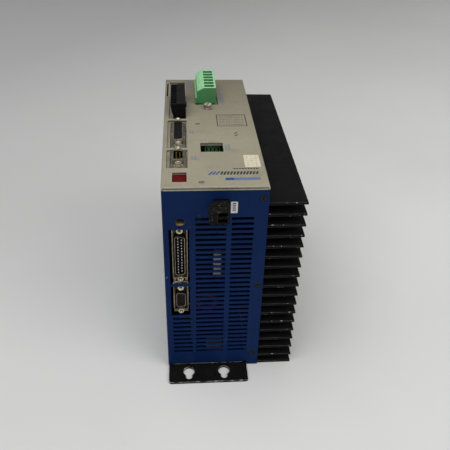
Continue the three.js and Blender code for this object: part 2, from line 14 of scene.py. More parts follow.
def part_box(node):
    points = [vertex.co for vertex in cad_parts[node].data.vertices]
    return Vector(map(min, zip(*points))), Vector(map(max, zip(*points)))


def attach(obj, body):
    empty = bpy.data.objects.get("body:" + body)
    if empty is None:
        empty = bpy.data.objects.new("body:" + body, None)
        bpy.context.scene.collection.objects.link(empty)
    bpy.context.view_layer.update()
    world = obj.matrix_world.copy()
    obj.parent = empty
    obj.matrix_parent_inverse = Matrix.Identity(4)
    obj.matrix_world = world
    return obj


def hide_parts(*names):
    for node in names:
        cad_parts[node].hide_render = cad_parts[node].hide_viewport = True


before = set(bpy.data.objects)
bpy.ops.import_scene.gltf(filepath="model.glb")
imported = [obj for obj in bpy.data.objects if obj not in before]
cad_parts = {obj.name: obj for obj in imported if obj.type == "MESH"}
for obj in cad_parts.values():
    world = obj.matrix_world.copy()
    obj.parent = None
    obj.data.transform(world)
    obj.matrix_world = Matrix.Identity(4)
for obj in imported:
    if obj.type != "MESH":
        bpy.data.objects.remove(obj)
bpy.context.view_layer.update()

# ---------------------------------------------------------------- the housing's own measures

MM = 0.001
cover_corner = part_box("chassis_cover")[0]
CORNER = Vector((cover_corner.x, cover_corner.y, 0.0))
TO_FRAME = Matrix.Translation(CORNER) @ Matrix.Scale(MM, 4)
FROM_FRAME = TO_FRAME.inverted()


def node_box(node):
    """(lowest, highest) corner of a CAD node, in housing millimetres."""
    low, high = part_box(node)
    return FROM_FRAME @ low, FROM_FRAME @ high


def middle_of(node):
    low, high = node_box(node)
    return (low + high) / 2


WIDTH = 80.0
LENGTH = node_box("chassis_cover")[1].y
TOP = node_box("front_panel")[1].z
SHEET = 1.2
SINK_LOW, SINK_HIGH = node_box("heat_sink")
PLATE_LOW, PLATE_HIGH = node_box("mounting_plate")

FACE_NEAR = Matrix.Rotation(math.pi / 2, 4, "X")  # turns a part's top to the near end
FACE_LEFT = Matrix.Rotation(-math.pi / 2, 4, "Y")  # turns a part's top to the left


def at(x, y, z):
    return Matrix.Translation((x, y, z))


# ---------------------------------------------------------------- node trees


class Nodes:
    """Short calls for a node tree."""

    def __init__(self, tree):
        self.tree = tree

    def add(self, kind, output=0, settings=None, **inputs):
        """A node's output. An input is its name with _ for a space, or _ and its number."""
        node = self.tree.nodes.new(kind)
        for key, value in (settings or {}).items():
            setattr(node, key, value)
        for label, value in inputs.items():
            key = int(label[1:]) if label.startswith("_") else label.replace("_", " ")
            if isinstance(value, bpy.types.NodeSocket):
                self.tree.links.new(value, node.inputs[key])
            else:
                node.inputs[key].default_value = value
        return node.outputs[output]

    def maths(self, operation, a, b):
        return self.add("ShaderNodeMath", 0, {"operation": operation}, _0=a, _1=b)


class Growth(Nodes):
    """A Geometry Nodes tree with named inputs, which ends in Realize Instances and Set Material."""

    def __init__(self, name, **inputs):
        super().__init__(bpy.data.node_groups.new(name, "GeometryNodeTree"))
        kinds = {"Geometry": "Geometry", **inputs, "Material": "Material"}
        for label, kind in kinds.items():
            self.socket(label.replace("_", " "), "INPUT", kind)
        self.socket("Geometry", "OUTPUT", "Geometry")
        self.given = self.tree.nodes.new("NodeGroupInput").outputs

    def socket(self, label, side, kind):
        self.tree.interface.new_socket(label, in_out=side, socket_type="NodeSocket" + kind)

    def part(self):
        settings = {"transform_space": "ORIGINAL"}
        return self.add("GeometryNodeObjectInfo", "Geometry", settings, Object=self.given["Part"])

    def random(self, low, high, seed):
        settings = {"data_type": "FLOAT"}
        return self.add("FunctionNodeRandomValue", 1, settings, _2=low, _3=high, _8=seed)

    def vector(self, **parts):
        return self.add("ShaderNodeCombineXYZ", **parts)

    def line(self, count, start, step):
        return self.add("GeometryNodeMeshLine", Count=count, Start_Location=start, Offset=step)

    def cube(self, size):
        return self.add("GeometryNodeMeshCube", Size=size)

    def spread(self, places, part, **more):
        """The part on each point."""
        return self.add("GeometryNodeInstanceOnPoints", Points=places, Instance=part, **more)

    def real(self, geometry):
        return self.add("GeometryNodeRealizeInstances", Geometry=geometry)

    def together(self, *geometries):
        node = self.tree.nodes.new("GeometryNodeJoinGeometry")
        for geometry in geometries:
            self.tree.links.new(geometry, node.inputs[0])
        return node.outputs[0]

    def end(self, geometry):
        material = self.given["Material"]
        dressed = self.add(
            "GeometryNodeSetMaterial", Geometry=self.real(geometry), Material=material
        )
        self.tree.links.new(dressed, self.tree.nodes.new("NodeGroupOutput").inputs[0])
        return self.tree


def slot_punch_tree():
    """Punches one column of vent slots through a wall."""
    g = Growth("slot_punch", Rows="Int", Pitch="Float", Lowest="Vector", Slot="Vector")
    column = g.line(g.given["Rows"], g.given["Lowest"], g.vector(Z=g.given["Pitch"]))
    slots = g.real(g.spread(column, g.cube(g.given["Slot"])))
    settings = {"operation": "DIFFERENCE", "solver": "EXACT"}
    wall = g.given["Geometry"]
    return g.end(g.add("GeometryNodeMeshBoolean", 0, settings, Mesh_1=wall, Mesh_2=slots))


def fin_bank_tree():
    """Adds a bank of equal fins to the base plate it is given."""
    g = Growth("fin_bank", Fins="Int", Pitch="Float", Top_Fin="Vector", Part="Object")
    down = g.vector(Z=g.maths("MULTIPLY", g.given["Pitch"], -1.0))
    places = g.line(g.given["Fins"], g.given["Top Fin"], down)
    return g.end(g.together(g.spread(places, g.part()), g.given["Geometry"]))


def contact_field_tree():
    """Two staggered rows of contacts: the long row on -X, the short one on +X."""
    g = Growth("contact_field", Long_Row="Int", Pitch="Float", Row_Gap="Float", Part="Object")
    pitch = g.given["Pitch"]
    rows = []
    for fewer, side in ((0.0, -0.5), (1.0, 0.5)):
        count = g.maths("SUBTRACT", g.given["Long Row"], fewer)
        half = g.maths("MULTIPLY", g.maths("SUBTRACT", count, 1.0), -0.5)
        across = g.maths("MULTIPLY", g.given["Row Gap"], side)
        first = g.vector(X=across, Y=g.maths("MULTIPLY", half, pitch))
        rows.append(g.line(count, first, g.vector(Y=pitch)))
    return g.end(g.spread(g.together(*rows), g.part()))


def fastener_tree():
    """Puts a fastener on each point, turned to its hole and left at a chance angle."""
    g = Growth("fasteners", Part="Object", Turn="Vector", Seed="Int")
    placed = g.spread(g.given["Geometry"], g.part(), Rotation=g.given["Turn"])
    angle = g.vector(Z=g.random(0.0, math.pi, g.given["Seed"]))
    return g.end(g.add("GeometryNodeRotateInstances", Instances=placed, Rotation=angle))


def upright_row_tree():
    """Puts the same part on each point, all alike."""
    g = Growth("upright_row", Part="Object")
    return g.end(g.spread(g.given["Geometry"], g.part()))


def marking_tree():
    """Rows of short bars of chance lengths, as plain print that says nothing."""
    vectors = {key: "Vector" for key in ("Start", "Row_Step", "Mark_Step", "Mark", "Turn")}
    g = Growth("marking", Rows="Int", Marks="Int", **vectors, Shortest="Float", Seed="Int")
    rows = g.line(g.given["Rows"], g.given["Start"], g.given["Row Step"])
    marks = g.line(g.given["Marks"], (0.0, 0.0, 0.0), g.given["Mark Step"])
    places = g.real(g.spread(rows, marks))
    length = g.random(g.given["Shortest"], 1.0, g.given["Seed"])
    scale = g.vector(X=length, Y=1.0, Z=1.0)
    bar = g.cube(g.given["Mark"])
    return g.end(g.spread(places, bar, Rotation=g.given["Turn"], Scale=scale))


def board_parts_tree():
    """Small parts of chance sizes on the near face of an upright circuit board."""
    g = Growth("board_parts", Board="Vector", Area="Vector", Part="Vector", Keep="Float", Seed="Int")
    area = g.add("ShaderNodeSeparateXYZ", Vector=g.given["Area"]).node.outputs
    grid = {"Size_X": area[1], "Size_Y": area[2], "Vertices_X": 13, "Vertices_Y": 11}
    sites = g.add(
        "GeometryNodeTransform",
        Geometry=g.add("GeometryNodeMeshGrid", **grid),
        Translation=g.given["Board"],
        Rotation=(math.pi / 2, 0.0, math.pi / 2),
    )
    seed = g.given["Seed"]
    chance = g.random(0.0, 1.0, seed)
    kept = g.add("FunctionNodeCompare", 0, {"operation": "LESS_THAN"}, _0=chance, _1=g.given["Keep"])
    scale = g.vector(
        X=g.random(0.5, 1.0, seed),
        Y=g.random(0.5, 1.0, g.maths("ADD", seed, 7.0)),
        Z=g.random(0.35, 1.0, seed),
    )
    return g.end(g.spread(sites, g.cube(g.given["Part"]), Selection=kept, Scale=scale))


# ---------------------------------------------------------------- making meshes


def linked(shape):
    bpy.context.scene.collection.objects.link(shape)
    return shape


def discard(*shapes):
    for shape in shapes:
        bpy.data.objects.remove(shape)


def made(name, work):
    """A bmesh as an object."""
    mesh = bpy.data.meshes.new(name)
    work.to_mesh(mesh)
    work.free()
    return linked(bpy.data.objects.new(name, mesh))


def solid(name, work):
    """A closed bmesh as an object; its faces point outwards."""
    bmesh.ops.recalc_face_normals(work, faces=work.faces[:])
    return made(name, work)


def plain(shape):
    """The object with its modifiers made part of its mesh."""
    bpy.context.view_layer.update()
    seen = shape.evaluated_get(bpy.context.evaluated_depsgraph_get())
    mesh = bpy.data.meshes.new_from_object(seen)
    shape.modifiers.clear()
    shape.data = mesh
    return shape


def grown(name, group, *rounds, source=None):
    """The plain mesh that a Geometry Nodes tree makes, once for each round of input values."""
    mesh = source.data.copy() if source else bpy.data.meshes.new(name)
    shape = linked(bpy.data.objects.new(name, mesh))
    for values in rounds:
        modifier = shape.modifiers.new(name, "NODES")
        modifier.node_group = group
        for item in group.interface.items_tree:
            if item.in_out == "INPUT" and item.name in values:
                modifier[item.identifier] = values[item.name]
    if source:
        discard(source)
    return plain(shape)


def points(places):
    mesh = bpy.data.meshes.new("places")
    mesh.from_pydata([tuple(p) for p in places], [], [])
    return linked(bpy.data.objects.new("places", mesh))


def loft(name, rings, closed=False):
    """Skins rings of equal counts; closed joins the last ring to the first, else ends are capped."""
    work = bmesh.new()
    rows = [[work.verts.new(p) for p in row] for row in rings]
    pairs = list(zip(rows, rows[1:])) + ([(rows[-1], rows[0])] if closed else [])
    for row, following in pairs:
        for i in range(len(row)):
            j = (i + 1) % len(row)
            work.faces.new((row[i], row[j], following[j], following[i]))
    if not closed:
        work.faces.new(rows[0])
        work.faces.new(rows[-1])
    return solid(name, work)


def prism(name, outline, start, end):
    """An outline in the XY plane as a prism along Z."""
    return loft(name, [[(x, y, z) for x, y in outline] for z in (start, end)])


def along_drive(name, outline, near, far):
    """An outline in the XZ plane as a prism along Y."""
    return moved(prism(name, outline, -far, -near), FACE_NEAR)


def rectangle(x0, x1, y0, y1):
    return [(x0, y0), (x1, y0), (x1, y1), (x0, y1)]


def block(name, x0, x1, y0, y1, z0, z1):
    return prism(name, rectangle(x0, x1, y0, y1), z0, z1)


def pocket(x0, x1, y0, y1, z0, z1, draft=0.0):
    """A cutter whose floor is smaller than its mouth by the draft on each side."""
    mouth = [(x, y, z1) for x, y in rectangle(x0, x1, y0, y1)]
    floor = [(x, y, z0) for x, y in rectangle(x0 + draft, x1 - draft, y0 + draft, y1 - draft)]
    return loft("pocket", [floor, mouth])


def circle(radius, z, count=32):
    step = math.tau / count
    return [(radius * math.cos(i * step), radius * math.sin(i * step), z) for i in range(count)]


def round_part(name, profile, count=32):
    """A turned part from (radius, height) pairs."""
    return loft(name, [circle(radius, z, count) for radius, z in profile])


def drill(radius, low, high, place, count=32):
    """A round cutter along its own Z, put in place."""
    return moved(round_part("drill", [(radius, low), (radius, high)], count), place)


def corner_arcs(outline, radius):
    """Centre, first angle and sweep of each rounded corner of a counter-clockwise outline."""
    arcs = []
    for i, corner in enumerate(outline):
        here = Vector(corner)
        before = (Vector(outline[i - 1]) - here).normalized()
        after = (Vector(outline[(i + 1) % len(outline)]) - here).normalized()
        half = before.angle(after) / 2
        centre = here + (before + after).normalized() * (radius / math.sin(half))
        arcs.append((centre, math.atan2(before.x, -before.y), math.pi - 2 * half))
    return arcs


def ring(arcs, radius, z, steps=5):
    """The rounded outline through the arcs, at one radius and height."""
    places = []
    for centre, first, sweep in arcs:
        for i in range(steps + 1):
            angle = first + sweep * i / steps
            x, y = centre.x + radius * math.cos(angle), centre.y + radius * math.sin(angle)
            places.append((x, y, z))
    return places


def rounded_rectangle(x0, x1, y0, y1, radius, steps=5):
    arcs = corner_arcs(rectangle(x0, x1, y0, y1), radius)
    return [p[:2] for p in ring(arcs, radius, 0.0, steps)]


def merged_copy(node):
    """A CAD node's shape, merged and without the seams of its triangles, in housing millimetres."""
    work = bmesh.new()
    work.from_mesh(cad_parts[node].data)
    bmesh.ops.transform(work, matrix=FROM_FRAME, verts=work.verts[:])
    bmesh.ops.remove_doubles(work, verts=work.verts[:], dist=0.002)
    seam = math.radians(1)
    bmesh.ops.dissolve_limit(work, angle_limit=seam, verts=work.verts[:], edges=work.edges[:])
    return made(node, work)


def joined(shapes):
    """Several objects as one, each solid kept whole."""
    work = bmesh.new()
    for shape in shapes:
        work.from_mesh(shape.data)
    keep = made(shapes[0].name, work)
    discard(*shapes)
    return keep


def moved(shape, place):
    shape.data.transform(place)
    return shape


def cut(shape, *cutters, operation="DIFFERENCE"):
    """Cuts the cutters out of a shape, or joins them to it."""
    tool = joined(cutters)
    modifier = shape.modifiers.new("cut", "BOOLEAN")
    modifier.operation = operation
    modifier.solver = "EXACT"
    modifier.use_self = True
    modifier.object = tool
    plain(shape)
    discard(tool)
    return shape


def softened(shape, width, segments=2, edge_finish=False):
    """Rounds the edges; the flag gives the rounded faces the second finish that settle() is told: wear
    and a painted highlight.
    """
    bevel = shape.modifiers.new("edges", "BEVEL")
    bevel.width = width
    bevel.segments = segments
    bevel.limit_method = "ANGLE"
    bevel.angle_limit = math.radians(32)
    bevel.harden_normals = True
    if edge_finish:
        shape.data.materials.clear()
        shape.data.materials.append(None)
        shape.data.materials.append(None)
        bevel.material = 1
    shape.data.shade_smooth()
    return plain(shape)


def smooth(shape, angle=35):
    shape.data.shade_smooth()
    shape.data.set_sharp_from_angle(angle=math.radians(angle))
    return shape


def settle(shape, name, materials, slot, nodes=(), body="chassis", place=Matrix()):
    """Puts a finished shape into the frame, and says what it rides on and stands for."""
    shape.name = name
    shape.data.name = name
    shape.data.transform(TO_FRAME @ place)
    faces = shape.data.polygons
    shares = [min(face.material_index, len(materials) - 1) for face in faces]
    shape.data.materials.clear()
    for material in materials:
        shape.data.materials.append(material)
    faces.foreach_set("material_index", shares)
    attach(shape, body)
    if nodes:
        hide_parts(*nodes)
    return shape


# ---------------------------------------------------------------- finishes


def colour(code):
    """A screen colour such as 16356e as linear light."""
    parts = [int(code[i : i + 2], 16) / 255 for i in (0, 2, 4)]
    linear = [c / 12.92 if c <= 0.04045 else ((c + 0.055) / 1.055) ** 2.4 for c in parts]
    return (*linear, 1.0)


class Finish(Nodes):
    """A surface finish on the piece's own coordinates. A tone is a screen colour or a socket."""

    def __init__(self, name, metal=0.0, rough=0.5, **shader):
        self.material = bpy.data.materials.new(name)
        self.material.use_nodes = True
        super().__init__(self.material.node_tree)
        self.shader = self.tree.nodes["Principled BSDF"].inputs
        self.shader["Metallic"].default_value = metal
        self.shader["Roughness"].default_value = rough
        for label, value in shader.items():
            self.shader[label.replace("_", " ")].default_value = value
        self.place = self.add("ShaderNodeTexCoord", "Object")

    def noise(self, scale, detail, stretch=None):
        where = self.place
        if stretch:
            where = self.add("ShaderNodeMapping", Vector=where, Scale=stretch)
        settings = {"Scale": scale, "Detail": detail, "Roughness": 0.55}
        return self.add("ShaderNodeTexNoise", Vector=where, **settings)

    def span(self, value, low, high, to_low=0.0, to_high=1.0):
        limits = {"From_Min": low, "From_Max": high, "To_Min": to_low, "To_Max": to_high}
        return self.add("ShaderNodeMapRange", Value=value, **limits)

    def mix(self, share, *tones):
        a, b = (colour(tone) if isinstance(tone, str) else tone for tone in tones)
        return self.add("ShaderNodeMix", 2, {"data_type": "RGBA"}, _0=share, _6=a, _7=b)

    def patches(self, tone, other, scale, detail, low, high, share=1.0, stretch=None):
        """Fades to the other tone where a noise rises from low to high."""
        return self.mix(
            self.span(self.noise(scale, detail, stretch), low, high, 0.0, share), tone, other
        )

    def facing_up(self):
        normal = self.add("ShaderNodeNewGeometry", "Normal")
        return self.add("ShaderNodeSeparateXYZ", 2, None, Vector=normal)

    def dusted_and_lit(self, tone, dust_and_light, share, scale=90.0):
        """A paler tone in patches on what faces up: dust on most finishes, a painted highlight on the
        green moulding.
        """
        lying = self.span(self.facing_up(), 0.3, 1.0, 0.0, share)
        patchiness = self.span(self.noise(scale, 6.0), 0.3, 0.72, 0.25)
        return self.mix(self.maths("MULTIPLY", lying, patchiness), tone, dust_and_light)

    def along(self, axis, low, high):
        """How far the surface lies from one housing height or depth to another, from 0 to 1."""
        start, end = ((TO_FRAME @ Vector((far, far, far)))[axis] for far in (low, high))
        place = self.add("ShaderNodeSeparateXYZ", axis, None, Vector=self.place)
        return self.span(place, start, end)

    def bump(self, height, depth, strength):
        out = self.add("ShaderNodeBump", Height=height, Distance=depth * MM, Strength=strength)
        self.tree.links.new(out, self.shader["Normal"])

    def coat(self, tone, polish=None, grain=None):
        """The tone, a polish (noise scale, detail, least and most rough) and a grain
        (noise scale, detail, depth, strength)."""
        self.tree.links.new(tone, self.shader["Base Color"])
        if polish:
            scale, detail, least, most = polish
            rough = self.span(self.noise(scale, detail), 0.3, 0.7, least, most)
            self.tree.links.new(rough, self.shader["Roughness"])
        if grain:
            scale, detail, depth, strength = grain
            self.bump(self.noise(scale, detail), depth, strength)
        return self.material


def powder_coat(name, base, shade, dust_and_light, rough, chip):
    f = Finish(name, Specular_IOR_Level=0.06)
    tone = f.patches(base, shade, 28.0, 4.0, 0.35, 0.65)
    tone = f.patches(tone, dust_and_light, 55.0, 6.0, 0.66, 0.74, 0.35, (1.0, 1.0, 9.0))
    tone = f.dusted_and_lit(tone, dust_and_light, 0.2)
    tone = f.patches(tone, chip, 420.0, 2.0, 0.77, 0.785)
    return f.coat(tone, (140.0, 5.0, rough - 0.07, rough + 0.1), (1500.0, 2.0, 0.03, 0.5))


def edge_highlight_and_wear(name, base, patch_tone, chipped, patch_level=0.54, chip=0.625):
    """The rounded edge of a finished sheet: a painted highlight, paler in patches of wear and
    highlight, chipped to bright metal in a few.
    """
    f = Finish(name, metal=0.1, rough=0.45, Specular_IOR_Level=0.35)
    tone = f.patches(base, patch_tone, 210.0, 6.0, patch_level - 0.08, patch_level + 0.08)
    tone = f.patches(tone, chipped, 330.0, 3.0, chip - 0.01, chip + 0.01)
    return f.coat(tone, None, (1200.0, 2.0, 0.03, 0.5))


def panel_paint():
    f = Finish("panel_paint", rough=0.5, Specular_IOR_Level=0.35)
    tone = f.patches("9f9984", "908a77", 16.0, 3.0, 0.3, 0.7)
    # Painted shade: the paint darkens towards the panel's far end.
    tone = f.mix(f.along(1, 0.4 * LENGTH, 1.1 * LENGTH), tone, "6a6555")
    tone = f.patches(tone, "6c6757", 70.0, 7.0, 0.54, 0.75, 0.35)
    tone = f.patches(tone, "7f7a69", 1500.0, 3.0, 0.35, 0.65, 0.3)
    return f.coat(tone, (120.0, 5.0, 0.42, 0.6), (2200.0, 3.0, 0.025, 0.5))


def anodised():
    f = Finish("black_anodised", rough=0.5, Specular_IOR_Level=0.06)
    drawn = f.noise(240.0, 5.0, (6.0, 0.06, 6.0))
    tone = f.mix(f.span(drawn, 0.3, 0.7), "0c0c0d", "111112")
    tone = f.patches(tone, "191919", 26.0, 6.0, 0.52, 0.75, 0.25)
    tone = f.patches(tone, "292826", 1600.0, 2.0, 0.62, 0.72, 0.35)
    tone = f.dusted_and_lit(tone, "2e2c29", 0.14, 60.0)
    tone = f.patches(tone, "8f8b82", 380.0, 2.0, 0.78, 0.795)
    f.bump(drawn, 0.04, 0.4)
    return f.coat(tone, (90.0, 5.0, 0.42, 0.58))


def bare_sheet(name, base, shade, metal):
    f = Finish(name, metal=metal, rough=0.42)
    rolled = f.noise(420.0, 4.0, (1.0, 0.05, 1.0))
    tone = f.mix(f.span(rolled, 0.3, 0.7), base, shade)
    tone = f.patches(tone, "6b6250", 60.0, 6.0, 0.52, 0.72, 0.55)
    f.bump(rolled, 0.02, 0.35)
    return f.coat(tone, (180.0, 5.0, 0.32, 0.55))


def plated(name, base, shade, tarnish, rough=0.32, metal=0.9):
    f = Finish(name, metal=metal, rough=rough)
    tone = f.patches(base, shade, 160.0, 4.0, 0.35, 0.65)
    tone = f.patches(tone, tarnish, 330.0, 6.0, 0.5, 0.7, 0.8)
    return f.coat(tone, (500.0, 4.0, rough - 0.08, rough + 0.16), (1800.0, 3.0, 0.015, 0.4))


def moulded(name, base, shade, dust_and_light, share, rough=0.45):
    """Moulded plastic with a fine spark-eroded grain and a paler tone on its upper faces: dust, and on
    the green moulding a painted highlight.
    """
    f = Finish(name, rough=rough, Specular_IOR_Level=0.1)
    tone = f.dusted_and_lit(f.patches(base, shade, 70.0, 4.0, 0.35, 0.65), dust_and_light, share, 700.0)
    return f.coat(tone, (300.0, 5.0, rough - 0.08, rough + 0.12), (2600.0, 3.0, 0.03, 0.6))


def speckled(name, base, dust_and_light, fleck):
    """Dusty moulded plastic with pale grains caught in its surface."""
    f = Finish(name, rough=0.55, Specular_IOR_Level=0.08)
    tone = f.dusted_and_lit(base, dust_and_light, 0.35, 500.0)
    tone = f.patches(tone, fleck, 1100.0, 2.0, 0.68, 0.72, 0.9)
    return f.coat(tone, (300.0, 5.0, 0.45, 0.65), (2200.0, 3.0, 0.04, 0.7))


def washer_head(name, top, side, tarnish):
    """A plated screw: a painted highlight where it faces up, painted shade in brown down its sides,
    and tarnish in patches.
    """
    f = Finish(name, metal=0.55, rough=0.38)
    tone = f.mix(f.span(f.facing_up(), 0.5, 0.9), side, top)
    tone = f.patches(tone, tarnish, 420.0, 5.0, 0.45, 0.7, 0.7)
    return f.coat(tone, (600.0, 4.0, 0.3, 0.5), (1800.0, 3.0, 0.015, 0.4))


def painted_over():
    """Panel paint on a screw head, dark brown down in its recess."""
    f = Finish("painted_screw", rough=0.5, Specular_IOR_Level=0.35)
    tone = f.patches("8f8872", "6f6753", 700.0, 4.0, 0.35, 0.7)
    tone = f.mix(f.along(2, TOP - 0.12, TOP - 0.5), tone, "2c241a")
    return f.coat(tone, None, (2200.0, 3.0, 0.025, 0.5))


def solder_mask():
    """A green board: tracks show as a paler maze, pads as small bright dots."""
    f = Finish("solder_mask", rough=0.35, Coat_Weight=0.3)
    maze = f.span(f.noise(130.0, 0.0, (1.0, 1.0, 4.0)), 0.48, 0.52)
    cells = f.add("ShaderNodeTexVoronoi", "Distance", None, Vector=f.place, Scale=260.0)
    f.bump(maze, 0.03, 0.5)
    return f.coat(f.mix(f.span(cells, 0.14, 0.1), f.mix(maze, "153a22", "1e5230"), "b9b59d"))


def paper(name, base, shade):
    f = Finish(name, rough=0.6)
    tone = f.patches(base, shade, 900.0, 6.0, 0.3, 0.7)
    tone = f.patches(tone, "a39a84", 120.0, 5.0, 0.5, 0.75, 0.5)
    return f.coat(tone, None, (1400.0, 3.0, 0.02, 0.4))


def ink(name, base, patch_tone):
    f = Finish(name, rough=0.5)
    tone = f.patches(base, patch_tone, 800.0, 4.0, 0.45, 0.7, 0.6)
    return f.coat(tone, (400.0, 3.0, 0.42, 0.6))


def clear_red():
    f = Finish("clear_red", rough=0.16, Specular_IOR_Level=0.04)
    haze = f.patches("520a0e", "5d1115", 120.0, 5.0, 0.35, 0.7)
    return f.coat(haze, (260.0, 5.0, 0.1, 0.3))


def wound_copper():
    """Close turns of enamelled wire."""
    f = Finish("wound_copper", metal=0.7, rough=0.35)
    settings = {"wave_type": "RINGS", "rings_direction": "Z"}
    spiral = f.add(
        "ShaderNodeTexWave", "Fac", settings, Vector=f.place, Scale=120.0, Distortion=2.0
    )
    f.bump(spiral, 0.2, 0.6)
    return f.coat(f.mix(f.span(spiral, 0.2, 0.9), "170905", "512412"))


BLUE = powder_coat("blue_powder_coat", "0b2049", "0e254f", "203455", 0.42, "74869f")
# The edge finishes are paler than their faces: a painted highlight along the rounded edges, besides
# wear and chips.
BLUE_EDGE = edge_highlight_and_wear("blue_edge", "102f5c", "28497a", "c8ced6")
PANEL = panel_paint()
PANEL_EDGE = edge_highlight_and_wear("panel_edge", "bcb49e", "cfc8b4", "e6e2d6")
ANODISED = anodised()
ANODISED_EDGE = edge_highlight_and_wear("anodised_edge", "19191a", "35332f", "cfcabf", chip=0.655)
PLATE = powder_coat("black_paint", "0a0a0b", "101011", "2c2b29", 0.3, "55524c")
PLATE_EDGE = edge_highlight_and_wear("black_edge", "2a2a2a", "a5a196", "f4efe2", 0.48)
SHELF = bare_sheet("mill_aluminium", "a8a393", "948e7f", 0.35)
# A dark sheet for the inside plates: painted shade.
SHADE_SHEET = bare_sheet("dull_sheet", "2a2a2b", "202021", 0.2)
ZINC = bare_sheet("yellow_zinc", "cdb684", "b29c6e", 0.15)
# Tin copies with light and shade painted in: darker on the end connectors, which sit in shade, near
# black inside the tubes, and a painted highlight on edges.
TIN = plated("tin_plate", "b8b2a0", "8f8875", "5e513b")
SHADED_END_TIN = plated("aged_tin_plate", "4a4436", "342f25", "1b1710", 0.4)
INSIDE_TIN = plated("shaded_tin", "2a2620", "1c1915", "0e0c09", 0.5)
EDGE_HIGHLIGHT_TIN = plated("rubbed_tin", "cfc9b8", "a89f8a", "6a5f48", 0.35, 0.5)
# Jackscrew tin, brighter than the shells' tin: a painted highlight.
HIGHLIT_JACK_TIN = plated("jackscrew_tin", "e2dccb", "bdb49f", "75684f", 0.26, 0.7)
NICKEL = plated("nickel", "b9b0a8", "9a8f87", "5d4a40", 0.26)
BLACK_STEEL = plated("black_oxide", "0e0e0e", "191919", "2b2723", 0.4, 0.6)
GOLD = plated("gold_flash", "c9a75a", "a8873f", "6b5020", 0.28)
# Pin noses in a painted highlight and pin shafts in painted shade, as down in the shell.
HIGHLIT_PIN = plated("bright_pin", "f6f3ea", "e4e0d4", "c9c3b4", 0.3)
SHADED_PIN_SHAFT = plated("pin_shaft", "3a342a", "2c2820", "1c1a16", 0.4)
BLACK = moulded("black_moulding", "0b0b0c", "101011", "262526", 0.3)
DUSTY_BLACK = speckled("dusty_moulding", "0e0e0e", "262521", "a09b8e")
BLACK_INSERT = moulded("black_insert", "0d0d0f", "131315", "302f2c", 0.3, 0.5)
# The pale green on upward faces is a painted highlight, lighter where the light falls, not dust.
GREEN = moulded("green_moulding", "477f50", "50885a", "b2efb8", 1.0, 0.4)
BOARD = solder_mask()
CREAM = paper("cream_sticker", "dcd2bc", "cbbfa6")
WHITE = paper("white_label", "d9d8d6", "c6c5c4")
INK = ink("grey_print", "3a3735", "5f5a4e")
BOLD_INK = ink("black_print", "1f1f22", "3c3b3a")
PALE_INK = ink("pale_print", "7d7c7c", "8f8979")
BLUE_INK = ink("blue_print", "164285", "2d5187")
SKY_INK = ink("sky_print", "50699a", "7c8696")
RED = clear_red()
# The earth screw's pale top and brown sides are painted highlight and painted shade.
EARTH_STEEL = washer_head("earth_screw_plating", "e8e2d6", "9c8474", "5c4638")
PAINTED_SCREW = painted_over()
CERAMIC = moulded("white_ceramic", "b9b0ab", "a69d98", "8d867f", 0.3, 0.7)
COPPER = wound_copper()
SLEEVE = moulded("shrink_sleeve", "20242b", "2a2f38", "6a6763", 0.4, 0.3)
OLIVE = moulded("varnished_film", "6f6a33", "5c582b", "8d8772", 0.3, 0.4)

SLOT_PUNCH = slot_punch_tree()
FIN_BANK = fin_bank_tree()
CONTACT_FIELD = contact_field_tree()
FASTENERS = fastener_tree()
UPRIGHT_ROW = upright_row_tree()
MARKING = marking_tree()
BOARD_PARTS = board_parts_tree()

# ---------------------------------------------------------------- heat sink

FINS, FIN_PITCH, TOP_FIN = 17, 10.04, 170.5
FIN_ROOT, FIN_TIP, FIN_SUNK = 2.6, 1.8, 0.8


def heat_sink():
    """Base plate and tapered fins of one extrusion, cut square at both ends."""
    near, far = SINK_LOW.y, SINK_HIGH.y
    left, right = WIDTH - FIN_SUNK, SINK_HIGH.x

    def fin(root, tip):
        """A fin whose underside lies at these heights, at its root and its tip."""
        outline = [(left, root), (right, tip), (right, tip + FIN_TIP), (left, root + FIN_ROOT)]
        return along_drive("fin", outline, near, far)

    base = block("base", SINK_LOW.x, WIDTH, near, far, 0.0, SINK_HIGH.z)
    lowest = fin(0.0, 0.0)
    repeated = fin(-FIN_ROOT / 2, -FIN_TIP / 2)
    bank = {"Fins": FINS, "Pitch": FIN_PITCH, "Top Fin": (0.0, 0.0, TOP_FIN), "Part": repeated}
    sink = grown("sink", FIN_BANK, {**bank, "Material": ANODISED}, source=joined([base, lowest]))
    discard(repeated)
    softened(sink, 0.28, edge_finish=True)
    settle(sink, "finned_heat_sink", [ANODISED, ANODISED_EDGE], "sink_black", ["heat_sink"])


# ---------------------------------------------------------------- cover

BEND = 1.8
VENT_PITCH, VENT_HEIGHT, LOWEST_VENT = 4.81, 2.7, 19.5
VENT_COLUMNS = [(25.0, 48.6, 30), (52.6, 69.4, 30), (5.5, 22.0, 9)]  # left, right, rows
COVER_SCREW_HEIGHTS = [15.4, 93.8, 176.6]
COVER_SCREW_COLUMN = (SINK_LOW.x + WIDTH) / 2


def arc(centre, radius, first, last, steps=6):
    """Points of an arc between two angles in degrees."""
    turns = [math.radians(first + (last - first) * i / steps) for i in range(steps + 1)]
    return [(centre[0] + radius * math.cos(a), centre[1] + radius * math.sin(a)) for a in turns]


def cover_outline():
    """The folded sheet in plan: near wall, left wall and far wall."""
    inner = BEND - SHEET
    near, far = (BEND, BEND), (BEND, LENGTH - BEND)
    inside = [(WIDTH, SHEET), *arc(near, inner, 270, 180), *arc(far, inner, 180, 90)]
    outside = [(WIDTH, LENGTH), *arc(far, BEND, 90, 180), *arc(near, BEND, 180, 270)]
    return [(WIDTH, 0.0), *inside, (WIDTH, LENGTH - SHEET), *outside]


def end_window(node, left, right, below, above):
    """A cutter for the near wall round a connector, with these margins."""
    low, high = node_box(node)
    x0, x1, z0, z1 = low.x - left, high.x + right, low.z - below, high.z + above
    return block("window", x0, x1, -3.0, 3.0, z0, z1)


